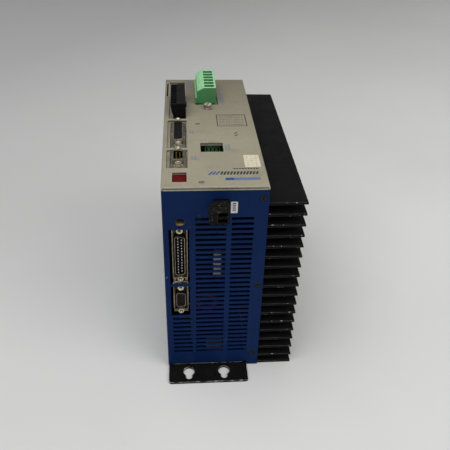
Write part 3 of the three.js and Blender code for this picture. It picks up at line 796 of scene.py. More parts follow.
def blue_cover():
    bottom, top = (corner.z for corner in node_box("chassis_cover"))
    sheet = prism("cover", cover_outline(), bottom, top)
    clear = PLATE_HIGH.x + 0.3
    step, foot = 2.3, 4.4
    far = LENGTH + 1.0
    cutters = [
        block("step", -1.0, clear, -1.0, far, bottom - 1.0, step),
        block("foot", 2 * SHEET, clear, -1.0, far, bottom - 1.0, foot),
        end_window("feedback_shell", 1.9, 1.2, 1.1, -0.3),
        end_window("encoder_shell", 1.9, 1.2, 0.8, 0.2),
        end_window("brake_header", 0.2, 0.2, -0.5, -0.6),
        drill(3.75, -3.0, 3.0, at(13.4, 0.0, 156.0) @ FACE_NEAR, 48),
    ]
    for z in COVER_SCREW_HEIGHTS:
        for end in (0.0, LENGTH):
            cutters.append(drill(3.0, -3.0, 3.0, at(COVER_SCREW_COLUMN, end, z) @ FACE_NEAR))
    cut(sheet, *cutters)
    rounds = [
        {
            "Rows": rows,
            "Pitch": VENT_PITCH,
            "Lowest": ((x0 + x1) / 2, wall, LOWEST_VENT),
            "Slot": (x1 - x0, 4 * SHEET, VENT_HEIGHT),
            "Material": BLUE,
        }
        for x0, x1, rows in VENT_COLUMNS
        for wall in (SHEET / 2, LENGTH - SHEET / 2)
    ]
    cover = grown("cover", SLOT_PUNCH, *rounds, source=sheet)
    softened(cover, 0.16, 1, edge_finish=True)
    settle(cover, "folded_cover", [BLUE, BLUE_EDGE], "cover_blue", ["chassis_cover"])


# ---------------------------------------------------------------- screws


def cross_recess(size, depth):
    """Two crossed cutters that narrow downwards."""
    arms = []
    for turn in (0.0, math.pi / 2):
        mouth = [(x * size, y * size * 0.26, 0.4) for x, y in rectangle(-1, 1, -1, 1)]
        floor = [(x * size * 0.55, y * size * 0.2, -depth) for x, y in rectangle(-1, 1, -1, 1)]
        arms.append(moved(loft("arm", [mouth, floor]), Matrix.Rotation(turn, 4, "Z")))
    return arms


def countersunk_screw():
    head = [(0.9, -2.4), (1.5, -1.9), (2.7, -0.35), (2.75, -0.1), (2.6, 0.0), (1.2, 0.02)]
    return smooth(cut(round_part("countersunk", head), *cross_recess(1.35, 1.1)), 30)


def pan_screw():
    shank = [(1.2, -4.0), (1.2, -1.2)]
    head = [(2.35, -1.2), (2.4, -0.3), (2.2, -0.05), (1.6, 0.06), (0.6, 0.1)]
    return smooth(cut(round_part("pan", shank + head), *cross_recess(1.05, 0.9)), 30)


def slotted_screw(radius, length, half_slot=0.42):
    shank = [(radius * 0.9, -length), (radius, -length + 0.2)]
    screw = round_part("slotted", [*shank, (radius, -0.15), (radius - 0.15, 0.0)], 28)
    reach = radius + 1
    return smooth(cut(screw, block("slot", -reach, reach, -half_slot, half_slot, -0.75, 1.0)), 30)


def fastened(name, part, places, turn, material, slot, nodes=(), body="chassis", seed=3):
    """One fastener on each place, all in one piece; without a turn they stand alike."""
    values = {"Part": part, "Seed": seed, "Material": material}
    if turn:
        values["Turn"] = turn
    tree = FASTENERS if turn else UPRIGHT_ROW
    shape = grown(name, tree, values, source=points(places))
    discard(part)
    settle(shape, name, [material], slot, nodes, body)


def screws():
    sunk = 0.12
    quarter = math.pi / 2
    for end, y, turn in (("near", sunk, quarter), ("far", LENGTH - sunk, -quarter)):
        places = [(COVER_SCREW_COLUMN, y, z) for z in COVER_SCREW_HEIGHTS]
        nodes = [f"cover_screw_{end}_{i + 1}" for i in range(len(places))]
        to_wall = (turn, 0.0, 0.0)
        screw = countersunk_screw()
        fastened(f"cover_screws_{end}", screw, places, to_wall, BLACK_STEEL, "screw_black", nodes)
    nodes = [f"panel_screw_{i + 1}" for i in range(3)]
    places = [(middle_of(node).x, middle_of(node).y, node_box(node)[1].z - 0.1) for node in nodes]
    upright = (0.0, 0.0, 0.0)
    fastened("panel_screws", pan_screw(), places, upright, PAINTED_SCREW, "panel_beige", nodes)


def earth_screw():
    """Cheese-head screw on a spring washer and a plain washer."""
    low, high = node_box("earth_screw")
    lift = 0.3  # of the washer's underside above the panel
    radius, thick, bore, break_edge = (high.x - low.x) / 2, 0.75, 2.6, 0.15
    washer = [
        (radius - break_edge, 0.0),
        (radius, break_edge),
        (radius, thick - break_edge),
        (radius - break_edge, thick),
        (bore, thick),
        (bore, 0.0),
    ]
    head, spring = radius - 0.45, radius - 1.05
    top = high.z - TOP - lift
    cheese = [
        (2.3, -9.0),
        (2.3, 0.4),
        (spring, 0.4),
        (spring, 1.0),
        (head, 1.1),
        (head, top - 0.45),
        (head - 0.12, top - 0.15),
        (head - 0.4, top),
    ]
    slot = moved(block("slot", -5, 5, -0.4, 0.4, top - 1.3, top + 1), Matrix.Rotation(1.2, 4, "Z"))
    screw = joined([round_part("washer", washer, 48), cut(round_part("cheese", cheese, 48), slot)])
    middle = middle_of("earth_screw")
    place = at(middle.x, middle.y, TOP + lift)
    smooth(screw, 30)
    settle(screw, "earth_terminal", [EARTH_STEEL], "screw_steel", ["earth_screw"], place=place)


# ---------------------------------------------------------------- mounting plate


def mounting_plate():
    """Sheet with two keyholes at one end, two open slots at the other, and upturned lugs."""
    columns = (18.3, 49.3)
    thick = 2.0
    head, slot = 4.9, 2.7  # radii
    seat_in, head_in = 6.2, 12.2  # from the plate's end
    seat, mouth = PLATE_LOW.y + seat_in, PLATE_LOW.y + head_in
    far_seat = PLATE_HIGH.y - head_in
    plan = rounded_rectangle(PLATE_LOW.x, PLATE_HIGH.x, PLATE_LOW.y, PLATE_HIGH.y, 2.5, 8)
    sheet = prism("plate", plan, 0.0, thick)
    cutters = []
    for x in columns:
        cutters.append(drill(head, -1.0, 3.0, at(x, mouth, 0.0), 48))
        for y0, y1 in ((seat - slot, mouth), (far_seat - slot, PLATE_HIGH.y + 9.0)):
            plan = rounded_rectangle(x - slot, x + slot, y0, y1, slot - 0.01, 12)
            cutters.append(prism("slot", plan, -1.5, 3.5))
    cut(sheet, *cutters)
    inset, lug, lug_top = SHEET + 0.3, 1.6, 11.0
    ends = (inset, LENGTH - inset - lug)
    lugs = [block("lug", 4.0, 66.0, y, y + lug, thick / 2, lug_top) for y in ends]
    cut(sheet, *lugs, operation="UNION")
    softened(sheet, 0.3, edge_finish=True)
    settle(sheet, "mounting_sheet", [PLATE, PLATE_EDGE], "plate_black", ["mounting_plate"])


# ---------------------------------------------------------------- front panel

# Openings in the front panel: left, right, near, far
WINDOWS = {
    "serial": (3.3, 20.4, 29.4, 61.0),
    "io": (3.3, 20.4, 63.6, 119.0),
    "logic": (4.4, 19.9, 121.6, 213.8),
    "latch_slot": (1.7, 3.3, 175.7, 211.2),
    "display": (8.1, 19.0, 8.0, 23.1),
    "option": (30.8, 49.5, 56.2, 73.2),
    "power": (29.0, 50.5, 153.6, 207.0),
}


def window(edges, low, high, corner=0.5):
    return prism("window", rounded_rectangle(*edges, corner, 4), low, high)


def grown_box(node, margin):
    low, high = node_box(node)
    return low.x - margin, high.x + margin, low.y - margin, high.y + margin


def screw_drills(panel_radius, low, high):
    """Cutters at the three panel screws and the earth screw."""
    radii = {f"panel_screw_{i + 1}": panel_radius for i in range(3)}
    radii["earth_screw"] = 2.9
    drills = []
    for node, radius in radii.items():
        middle = middle_of(node)
        drills.append(drill(radius, low, high, at(middle.x, middle.y, 0.0)))
    return drills


def front_panel():
    """Painted sheet with both long sides folded down."""
    low, high = node_box("front_panel")
    under = high.z - SHEET
    bend = 1.1
    left_fold = [(low.x, low.z), (low.x + SHEET, low.z), (low.x + SHEET, under)]
    right_fold = [(high.x - SHEET, under), (high.x - SHEET, low.z), (high.x, low.z)]
    right_bend = arc((high.x - bend, high.z - bend), bend, 0, 90, 5)
    left_bend = arc((low.x + bend, high.z - bend), bend, 90, 180, 5)
    outline = left_fold + right_fold + right_bend + left_bend
    sheet = along_drive("panel", outline, low.y, high.y)
    openings = [window(edges, under - 1, high.z + 1) for edges in WINDOWS.values()]
    cut(sheet, *openings, *screw_drills(2.45, under - 1, high.z + 1))
    softened(sheet, 0.16, edge_finish=True)
    settle(sheet, "painted_panel", [PANEL, PANEL_EDGE], "panel_beige", ["front_panel"])


def connector_shelf():
    """Bare sheet under the panel that carries the front connectors."""
    low, high = node_box("connector_shelf")
    under = high.z - SHEET
    inset, gap = 2.0, 0.3
    sheet = block("shelf", low.x, high.x, low.y, high.y, under, high.z)
    flanges = [
        block("flange", x, x + SHEET, low.y + inset, high.y - inset, low.z, under + 0.4)
        for x in (low.x, SINK_LOW.x - gap - SHEET)
    ]
    cut(sheet, *flanges, operation="UNION")
    carried = ("serial_shell", "io_shell", "logic_header", "power_header")
    edges = [grown_box(node, gap) for node in carried]
    edges += [WINDOWS["display"], WINDOWS["option"]]
    openings = [window(edge, under - 1, high.z + 1) for edge in edges]
    left, right, near, far = WINDOWS["latch_slot"]
    latch = (left - 2 * gap, right + gap, near - gap, far + gap)
    openings.append(window(latch, low.z - 1, high.z + 1, 0.1))
    cut(sheet, *openings, *screw_drills(1.5, under - 1, high.z + 1))
    softened(sheet, 0.14, 1)
    settle(sheet, "connector_shelf_sheet", [SHELF], "bare_aluminium", ["connector_shelf"])


def connector_bracket():
    """Angle bracket that the end connectors are screwed to."""
    low, high = node_box("connector_bracket")
    sheet, gap = 1.0, 0.3
    front = node_box("feedback_shell")[1].y + gap
    back = front + sheet
    bracket = block("bracket", low.x, high.x, front, back, low.z, high.z - 0.1)
    flange = block("flange", low.x, high.x, low.y, high.y, high.z - sheet, high.z)
    cut(bracket, flange, operation="UNION")
    column = middle_of("feedback_shell").x
    half, lap = 3.6, 0.5
    gap_low, gap_high = node_box("encoder_shell")[1].z - lap, node_box("feedback_shell")[0].z + lap
    cutters = [block("gap", column - half, column + half, front - 1, back + 1, gap_low, gap_high)]
    for name in ("feedback", "encoder"):
        body_low, body_high = node_box(f"{name}_insulator")
        x0, x1, z0, z1 = body_low.x - 0.9, body_high.x + 0.9, body_low.z - 1.1, body_high.z + 1.1
        cutters.append(block("body", x0, x1, front - 1, back + 1, z0, z1))
        for i in range(2):
            jack = middle_of(f"{name}_jackscrew_{i + 1}")
            cutters.append(drill(2.0, -3.0, 3.0, at(jack.x, back, jack.z) @ FACE_NEAR))
    softened(cut(bracket, *cutters), 0.12, 1)
    settle(bracket, "zinc_bracket", [ZINC], "zinc_yellow", ["connector_bracket"])


# ---------------------------------------------------------------- print and labels

PRINT = 0.05  # thickness of print above what it is on
LABEL = 0.12

# Rows of bars: name, ink, first bar, rows and their gap, bars and their step, bar, turn, seed,
# shortest
RATING_ROWS = [
    ("rating_lines", INK, (50.5, 108.2), 6, 3.75, 9, (2.45, 0.0), (2.3, 0.8), 0.0, 1, 0.35),
    ("hatch_strokes", BOLD_INK, (62.1, 86.4), 1, 1.0, 2, (-0.2, 4.4), (4.6, 0.9), 0.95, 4, 0.9),
]
TITLE_ROWS = [
    ("title_bars", BOLD_INK, (45.6, 20.6), 1, 1.0, 12, (2.45, 0.0), (5.6, 1.45), 1.25, 5, 0.75),
    ("title_accent", BLUE_INK, (37.2, 20.6), 1, 1.0, 3, (2.7, 0.0), (6.4, 1.2), 1.0, 13, 0.8),
    ("subtitle_bars", BOLD_INK, (55.6, 27.4), 1, 1.0, 9, (2.2, 0.0), (2.0, 1.5), 0.0, 6, 0.6),
]
# Small tags beside the connectors: name, place, rows, gap of the rows, seed
TAGS = [
    ("tag_io", (22.8, 92.0), 2, 3.4, 7),
    ("tag_serial", (23.6, 43.8), 2, 3.4, 8),
    ("tag_option", (51.8, 61.0), 3, 3.4, 9),
    ("tag_power", (53.6, 158.5), 6, 4.2, 10),
    ("tag_logic", (22.6, 202.0), 4, 4.2, 11),
]


def print_bars(name, bars, material, place=Matrix(), slot="panel_beige", level=TOP):
    """Bars of print, each given by its left, right, near and far edges."""
    shapes = [block("bar", *edges, level, level + PRINT) for edges in bars]
    settle(joined(shapes), name, [material], slot, place=place)


def marking(name, material, start, rows, gap, marks, step, bar, turn, seed, shortest, level=TOP):
    values = {
        "Rows": rows,
        "Marks": marks,
        "Start": (*start, level + PRINT / 2),
        "Row Step": (0.0, gap, 0.0),
        "Mark Step": (*step, 0.0),
        "Mark": (*bar, PRINT),
        "Turn": (0.0, 0.0, turn),
        "Shortest": shortest,
        "Seed": seed,
        "Material": material,
    }
    settle(grown(name, MARKING, values), name, [material], "panel_beige")


def panel_print():
    """Plain blocks and bars where a panel carries its printing. None of it is lettering."""
    x0, x1, y0, y1, line = 47.0, 73.5, 105.0, 130.0, 0.75
    frame_bars = [
        (x0, x1, y0, y0 + line),
        (x0, x1, y1 - line, y1),
        (x0, x0 + line, y0 + line, y1 - line),
        (x1 - line, x1, y0 + line, y1 - line),
    ]
    print_bars("rating_frame", frame_bars, BOLD_INK)
    for row in RATING_ROWS:
        marking(*row)
    stripe_near, stripe_far = 9.8, 13.4
    print_bars("stripe_light", [(54.3, 74.0, stripe_near, stripe_far)], SKY_INK)
    print_bars("stripe_dark", [(47.8, 54.2, stripe_near, stripe_far)], BLUE_INK)
    for row in TITLE_ROWS:
        marking(*row)
    for name, start, rows, gap, seed in TAGS:
        marking(name, SKY_INK, start, rows, gap, 2, (2.4, 0.0), (2.1, 1.5), 0.0, seed, 0.6)


def label_sheet(name, edges, corner, level, material, slot, place=Matrix()):
    sheet = prism(name, rounded_rectangle(*edges, corner, 4), level, level + LABEL)
    settle(softened(sheet, 0.04, 1), name, [material], slot, place=place)


def labels():
    """A cream sticker on the panel and a white label beside the brake plug."""
    cream_edges, white_edges = (64.3, 76.6, 29.6, 49.6), (51.4, 56.6, 164.2, 174.2)
    label_sheet("cream_sticker", cream_edges, 0.5, TOP, CREAM, "panel_beige")
    lines = ((67.0, 33.0), 5, 3.3, 3, (3.4, 0.0), (2.6, 0.45), 0.0, 12, 0.35)
    marking("sticker_lines", PALE_INK, *lines, level=TOP + LABEL)
    label_sheet("white_label", white_edges, 0.4, 0.0, WHITE, "cover_blue", FACE_NEAR)
    left, right, lowest, thick, step = 52.7, 55.3, 166.4, 1.0, 1.9
    bars = [(left, right, lowest + step * i, lowest + thick + step * i) for i in range(4)]
    print_bars("label_marks", bars, BOLD_INK, FACE_NEAR, "cover_blue", LABEL)


# ---------------------------------------------------------------- D connectors

D_SIZES = {
    9: {"flange": 30.81, "male": 16.92, "female": 16.33, "jacks": 24.99, "long_row": 5},
    25: {"flange": 53.04, "male": 38.96, "female": 38.38, "jacks": 47.04, "long_row": 13},
}
D_WIDTH = {"male": 8.36, "female": 7.9}
D_FLANGE_WIDTH, D_FLANGE, D_REACH, D_WALL = 12.55, 0.8, 5.5, 0.6
CONTACT_PITCH, CONTACT_ROWS = 2.76, 2.84
PIN_TIP = D_REACH - 0.6
NOSE = 0.7  # the length of a pin's bright end
SOCKET_FACE = D_REACH - 0.3


def d_outline(length, width):
    narrow = width * math.tan(math.radians(10))
    half, left, right = width / 2, length / 2, length / 2 - narrow
    return [(-half, -left), (half, -right), (half, right), (-half, left)]


def d_shell(size, gender):
    """Drawn shell: flat flange, a soft draw into the D tube, and a rounded rim.

    Its edge faces are of the third finish, with a painted highlight on the end connectors, and the
    inside of the tube is of the second, in painted shade.
    """
    corner, edge, draw, steps = 2.3, 1.5, 0.7, 6
    tube = corner_arcs(d_outline(size[gender], D_WIDTH[gender]), corner)
    half_width, half_length = D_FLANGE_WIDTH / 2, size["flange"] / 2
    plate = corner_arcs(rectangle(-half_width, half_width, -half_length, half_length), edge)
    flange = [(edge, -D_FLANGE), (edge, -0.25), (edge - 0.25, 0.0), (edge - 0.8, 0.0)]
    profile = []
    for degrees in (0, 30, 60, 90):
        angle = math.radians(degrees)
        profile.append((corner + draw * (1 - math.sin(angle)), draw * (1 - math.cos(angle))))
    rim, inner = D_REACH - 0.3, corner - D_WALL
    profile += [(corner, rim), (corner - 0.1, D_REACH - 0.05), (corner - D_WALL / 2, D_REACH)]
    profile += [(inner + 0.1, D_REACH - 0.05), (inner, rim), (inner, -D_FLANGE)]
    rings = [ring(plate, radius, z, steps) for radius, z in flange]
    rings += [ring(tube, radius, z, steps) for radius, z in profile]
    shell = smooth(loft("shell", rings, closed=True))
    finish_of_row = {1: 2, 2: 2, len(rings) - 4: 2, len(rings) - 2: 1}
    for face in shell.data.polygons:
        face.material_index = finish_of_row.get(face.index // len(rings[0]), 0)
    return shell


def contact_field(size, profile, material):
    """The same turned part at each contact of a connector."""
    contact = round_part("contact", profile, 12)
    values = {
        "Long Row": size["long_row"],
        "Pitch": CONTACT_PITCH,
        "Row Gap": CONTACT_ROWS,
        "Part": contact,
        "Material": material,
    }
    field = grown("contacts", CONTACT_FIELD, values)
    discard(contact)
    return smooth(field)


def d_insert(size, gender):
    corner, clear = 1.7, D_WALL + 0.15
    arcs = corner_arcs(d_outline(size[gender] - 2 * clear, D_WIDTH[gender] - 2 * clear), corner)
    face = 0.4 if gender == "male" else SOCKET_FACE
    levels = [(corner, -6.0), (corner, face - 0.2), (corner - 0.2, face)]
    insert = loft("insert", [ring(arcs, radius, z) for radius, z in levels])
    hole = [(0.62, face - 2.5), (0.62, face), (0.85, face + 0.35)]
    return smooth(cut(insert, contact_field(size, hole, BLACK_INSERT)))


def contacts(name, size, gender, finish, place):
    """Pins with shafts in painted shade and noses in a painted highlight, or sprung tubes down in the
    insert.
    """
    shaft = [(0.46, -1.5), (0.48, PIN_TIP - NOSE)]
    nose = [(0.5, PIN_TIP - NOSE), (0.5, PIN_TIP - 0.3), (0.4, PIN_TIP - 0.08), (0.2, PIN_TIP)]
    mouth = SOCKET_FACE - 0.45
    tube = [(0.6, SOCKET_FACE - 2.4), (0.6, mouth), (0.42, mouth), (0.4, SOCKET_FACE - 1.8)]
    pins = [("pin_shafts", shaft, SHADED_PIN_SHAFT), ("pin_noses", nose, finish)]
    for part, profile, material in pins if gender == "male" else [("tubes", tube, finish)]:
        field = contact_field(size, profile, material)
        settle(field, f"{name}_{part}", [material], "tin_plate", place=place)


def hex_jack(spin):
    """Hexagon jackscrew with a chamfered nose and a threaded bore."""
    apothem, nose, count = 2.38, 5.2, 36

    def hexagon(share, z):
        places = []
        for i in range(count):
            angle = i * math.tau / count
            within = (angle + math.pi / 6) % (math.pi / 3) - math.pi / 6
            reach = apothem * share / math.cos(within)
            places.append((reach * math.cos(angle + spin), reach * math.sin(angle + spin), z))
        return places

    bore = [(apothem * 0.98, nose - 0.1), (apothem * 0.9, nose), (1.75, nose), (1.45, nose - 0.25)]
    for i in range(6):
        crest = nose - 0.5 - 0.5 * i
        bore += [(1.42, crest), (1.22, crest - 0.25)]
    rings = [hexagon(0.96, 0.05), hexagon(1.0, 0.3), hexagon(1.0, nose - 0.55)]
    rings += [circle(radius, z, count) for radius, z in bore]
    return smooth(loft("jack", rings), 30)


def d_connector(name, ways, gender, on_end, pin_finish):
    size = D_SIZES[ways]
    low, high = node_box(f"{name}_shell")
    middle = (low + high) / 2
    if on_end:
        place = at(middle.x, high.y - D_FLANGE, middle.z) @ FACE_NEAR
        finishes = [SHADED_END_TIN, INSIDE_TIN, EDGE_HIGHLIGHT_TIN]
    else:
        place = at(middle.x, middle.y, low.z + D_FLANGE)
        finishes = [TIN, INSIDE_TIN, TIN]
    shell = d_shell(size, gender)
    settle(shell, f"{name}_drawn_shell", finishes, "tin_plate", [f"{name}_shell"], place=place)
    insert = d_insert(size, gender)
    node = f"{name}_insulator"
    settle(insert, f"{name}_insert", [BLACK_INSERT], "black_plastic", [node], place=place)
    contacts(name, size, gender, pin_finish, place)
    for i, end in enumerate((-1, 1)):
        spot = place @ at(0.0, end * size["jacks"] / 2, 0.0)
        jack = hex_jack(0.3 + 0.9 * i + 0.4 * ways)
        node = f"{name}_jackscrew_{i + 1}"
        settle(jack, f"{node}_hex", [HIGHLIT_JACK_TIN], "tin_plate", [node], place=spot)


# ---------------------------------------------------------------- plugs


def pole_middles(count, pitch, low, high):
    middle = (low + high) / 2
    return [middle + (i - (count - 1) / 2) * pitch for i in range(count)]


def softened_node(node, name, width, material, slot):
    """A plain CAD block with rounded edges."""
    settle(softened(merged_copy(node), width), name, [material], slot, [node])


def shroud(node, wall, depth, material, slot):
    """An open box that holds a plug's tongue."""
    low, high = node_box(node)
    box = block("shroud", low.x, high.x, low.y, high.y, low.z, high.z)
    cavity = window(grown_box(node, -wall), high.z - depth, high.z + 1, 0.4)
    settle(softened(cut(box, cavity), 0.22), f"{node}_moulding", [material], slot, [node])


def wire_cage():
    """A clamp's metal cage, open towards the wire: a thin tray."""
    arcs = corner_arcs(rectangle(-3.8, 3.8, -2.05, 2.05), 0.5)
    levels = [(0.5, 0.0), (0.5, 2.6), (0.1, 2.6), (0.1, 0.5)]
    return smooth(loft("cage", [ring(arcs, radius, z, 2) for radius, z in levels]))


def clamp_screw(node, radius, spin):
    low, high = node_box(node)
    middle = (low + high) / 2
    screw = slotted_screw(radius, high.x - low.x)
    place = at(low.x, middle.y, middle.z) @ FACE_LEFT @ Matrix.Rotation(spin, 4, "Z")
    settle(screw, f"{node}_slotted", [NICKEL], "screw_steel", [node], node, place)


def power_plug():
    """Six-pole plug: wires enter from the top, clamp screws turn in its left face."""
    low, high = node_box("power_plug")
    shoulder = node_box("power_header")[1].z + 3.0
    lip, right = low.x, high.x
    face, chamfer = lip + 1.7, lip + 8.0
    middles = pole_middles(6, 7.62, low.y, high.y)
    outline = [
        (lip, shoulder),
        (right, shoulder),
        (right, high.z),
        (chamfer, high.z),
        (face, high.z - 3.4),
        (face, high.z - 9.1),
        (lip, high.z - 10.5),
    ]
    body = along_drive("plug", outline, low.y, high.y)
    tongue_left, tongue_right, end_gap = 31.6, 47.7, 0.8
    sides = (tongue_left, tongue_right, low.y + end_gap, high.y - end_gap)
    tongue = block("tongue", *sides, low.z, shoulder + 0.5)
    cut(body, tongue, operation="UNION")
    screw_height = middle_of("power_clamp_screw_1").z
    entry, entry_half = (37.6, 46.6), 2.75
    cutters = []
    for y in middles:
        sides = (*entry, y - entry_half, y + entry_half)
        cutters.append(pocket(*sides, high.z - 8, high.z + 0.2, 0.5))
        cutters.append(drill(2.15, -5.0, 1.0, at(face, y, screw_height) @ FACE_LEFT, 28))
    softened(cut(body, *cutters), 0.26)
    settle(body, "power_plug_moulding", [GREEN], "green_plastic", ["power_plug"], "power_plug")
    places = [(sum(entry) / 2, y, high.z - 7.95) for y in middles]
    cages = {"material": NICKEL, "slot": "screw_steel", "body": "power_plug"}
    fastened("power_wire_cages", wire_cage(), places, None, **cages)
    for i in range(6):
        clamp_screw(f"power_clamp_screw_{i + 1}", 1.85, 0.25 + 0.7 * i)
    shroud("power_header", 1.5, 6.2, GREEN, "green_plastic")


def logic_plug():
    """Twelve-pole plug: a row of funnels with clamp screws in its top, wire entries at its left."""
    low, high = node_box("logic_plug")
    shoulder = node_box("logic_header")[1].z + 0.9
    left, strip, step = low.x, 11.9, 0.35
    root_left, root_right, top_right = 9.3, 19.7, 19.3
    middles = pole_middles(12, 3.81, low.y, high.y)
    outline = [
        (root_left, shoulder),
        (root_right, shoulder),
        (top_right, high.z),
        (strip, high.z),
        (strip, high.z - step),
        (left, high.z - step),
        (left + 1.1, high.z - 8.6),
    ]
    body = along_drive("plug", outline, low.y, high.y)
    tongue = block("tongue", 10.3, 17.9, low.y + 0.6, high.y - 0.6, low.z, shoulder + 0.5)
    latch = pocket(18.6, high.x, 137.0, 141.0, 191.5, 195.5)
    cut(body, tongue, latch, operation="UNION")
    funnel, entry = 1.6, 1.35  # half widths
    cutters = []
    for y in middles:
        sides = (left + 0.5, strip - 0.35, y - funnel, y + funnel)
        cutters.append(pocket(*sides, high.z - 2.9, high.z, 0.5))
        cutters.append(block("entry", left - 1, 9.5, y - entry, y + entry, 192.6, 195.8))
    dimple_width, dimple_depth = 1.6, 0.5
    for x in (12.0, 15.6):
        y0, y1 = low.y - 1, low.y + dimple_depth
        cutters.append(block("dimple", x, x + dimple_width, y0, y1, 188.6, 190.4))
    softened(cut(body, *cutters), 0.16)
    settle(body, "logic_plug_moulding", [BLACK], "black_plastic", ["logic_plug"], "logic_plug")
    places = [((left + strip) / 2, y, high.z - 2.2) for y in middles]
    screw = slotted_screw(1.25, 0.9, 0.25)
    clamps = {"material": BLACK_STEEL, "slot": "screw_black", "body": "logic_plug", "seed": 5}
    fastened("logic_clamp_screws", screw, places, (0.0, 0.0, 0.0), **clamps)
    shroud("logic_header", 1.3, 7.1, BLACK, "black_plastic")


def brake_plug():
    """Two-pole plug in the end wall: wires enter from the end, screws turn in its left face."""
    low, high = node_box("brake_plug")
    face, neck, reach = -0.4, 7.7, 16.7
    front = face - reach
    root_left, front_right = 39.1, 49.3
    neck_end = (low.x, face - neck)
    outline = [(root_left, face), neck_end, (low.x, front), (front_right, front), (high.x, face)]
    body = prism("plug", outline, low.z, high.z)
    tongue = block("tongue", 40.4, 48.8, face - 0.5, high.y, low.z + 0.7, high.z - 0.7)
    cut(body, tongue, operation="UNION")
    screw_y = middle_of("brake_clamp_screw_1").y
    entry = 1.85
    groove_depth = 0.45
    cutters = [block("groove", 36.0, 48.0, -9.0, -8.2, high.z - groove_depth, high.z + 1)]
    for z in pole_middles(2, 5.08, low.z, high.z):
        cutters.append(block("entry", 41.0, 47.8, front - 1, front + 7, z - entry, z + entry))
        cutters.append(drill(1.75, -4.0, 1.0, at(low.x, screw_y, z) @ FACE_LEFT, 28))
    softened(cut(body, *cutters), 0.24)
    settle(body, "brake_plug_moulding", [DUSTY_BLACK], "black_plastic", ["brake_plug"], "brake_plug")
    for i in range(2):
        clamp_screw(f"brake_clamp_screw_{i + 1}", 1.45, 0.6 + 0.9 * i)


def brake_header():
    low, high = node_box("brake_header")
    wall, floor = 1.3, 8.5
    shell = block("shell", low.x, high.x, low.y, high.y, low.z, high.z)
    x0, x1, z0, z1 = low.x + wall, high.x - wall, low.z + wall, high.z - wall
    softened(cut(shell, block("cavity", x0, x1, low.y - 1, floor, z0, z1)), 0.2)
    settle(shell, "brake_header_moulding", [BLACK], "black_plastic", ["brake_header"])


def option_header():
    """Card header with four bays, seen through the square window, and the card it stands on."""
    low, high = node_box("option_header")
    body = block("header", low.x, high.x, low.y, high.y, low.z, high.z)
    bay, wall, post = (high.x - low.x) / 4, 0.6, 1.0
    bays = []
    for i in range(4):
        left, right = low.x + i * bay, low.x + (i + 1) * bay
        sides = (left + wall, right - wall, low.y + 1.4, high.y - 1.4)
        bays.append(pocket(*sides, high.z - 7, high.z + 0.2, 0.3))
        sides = (left + post, right - post, low.y - 1, low.y + 2)
        bays.append(block("gate", *sides, high.z - 10, high.z - 2.4))
    softened(cut(body, *bays), 0.18)
    settle(body, "option_header_moulding", [GREEN], "green_plastic", ["option_header"])
    near, bottom = high.y + 2.2, node_box("transformer")[1].z + 2.0
    card = block("card", 24.0, 50.5, near, near + 1.6, bottom, high.z - 1.0)
    settle(softened(card, 0.12, 1), "option_card", [BOARD], "circuit_board")


# ---------------------------------------------------------------- display and inside


def display():
    low, high = node_box("display_filter")
    outline = rounded_rectangle(low.x, high.x, low.y, high.y, 0.6, 4)
    lens = softened(prism("lens", outline, low.z, high.z), 0.2, 3)
    settle(lens, "red_lens", [RED], "red_filter", ["display_filter"])
    softened_node("display_module", "display_moulding", 0.2, BLACK, "black_plastic")


def partition():
    """Two dark plates across the inside, clear of every board and component: painted shade that keeps
    the far vents from showing through.
    """
    near = 116.5
    for name, x0, x1, z0, z1 in (
        ("partition_left", 22.8, 51.0, 16.0, 168.0),
        ("partition_right", 53.0, 70.4, 110.0, 178.0),
    ):
        sheet = block("sheet", x0, x1, near, near + SHEET, z0, z1)
        settle(softened(sheet, 0.12, 1), name, [SHADE_SHEET], "bare_aluminium")


def board_parts(name, material, board, part, keep, seed):
    """A share of the places on a board get a part, which is no larger than the one given."""
    low, high = node_box(board)
    margin = 14.0
    middle = (low + high) / 2
    values = {
        "Board": (low.x - part[0] / 2 + 0.1, middle.y, middle.z),
        "Area": (0.0, high.y - low.y - 2 * margin, high.z - low.z - 2.5 * margin),
        "Part": part,
        "Keep": keep,
        "Seed": seed,
        "Material": material,
    }
    parts = grown(name, BOARD_PARTS, values)
    settle(softened(parts, 0.15, 1), name, [material], "black_plastic")


def bus_capacitor(node):
    """Sleeved can with a crimped shoulder and a vented aluminium top."""
    low, high = node_box(node)
    middle = (low + high) / 2
    radius, height = (high.y - low.y) / 2, high.x - low.x
    crimp = [(radius - 0.6, 0.0), (radius, 0.5), (radius, 2.0), (radius - 0.7, 2.6), (radius, 3.2)]
    top = [(radius, height - 0.9), (radius - 0.35, height - 0.2)]
    vent = [(radius - 1.4, height - 0.15), (radius - 1.6, height - 0.5)]
    can = smooth(round_part("can", crimp + top + vent, 40))
    place = at(high.x, middle.y, middle.z) @ FACE_LEFT
    settle(can, f"{node}_can", [SLEEVE], "can_sleeve", [node], place=place)


def insides():
    """What shows through the vents and windows."""
    for board in ("control_board", "power_board"):
        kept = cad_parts[board].data
        kept.materials.clear()
        kept.materials.append(BOARD)
    softened_node("power_module", "power_module_case", 0.5, BLACK, "black_plastic")
    softened_node("transformer", "transformer_core", 0.5, OLIVE, "olive_film")
    softened_node("film_capacitor", "film_capacitor_block", 0.6, OLIVE, "olive_film")
    softened_node("ballast_resistor", "ballast_resistor_block", 0.5, CERAMIC, "grey_ceramic")
    softened_node("relay", "relay_case", 0.5, BLACK, "black_plastic")
    choke = smooth(merged_copy("choke_coil"), 60)
    settle(choke, "choke_winding", [COPPER], "copper", ["choke_coil"])
    for i in range(3):
        bus_capacitor(f"bus_capacitor_{i + 1}")
    board_parts("control_chips", BLACK_INSERT, "control_board", (2.4, 9.0, 7.0), 0.3, 21)
    board_parts("control_passives", CERAMIC, "control_board", (1.2, 2.2, 3.2), 0.45, 34)
    board_parts("power_passives", OLIVE, "power_board", (3.0, 3.0, 5.0), 0.25, 47)


# ---------------------------------------------------------------- stage, in metres


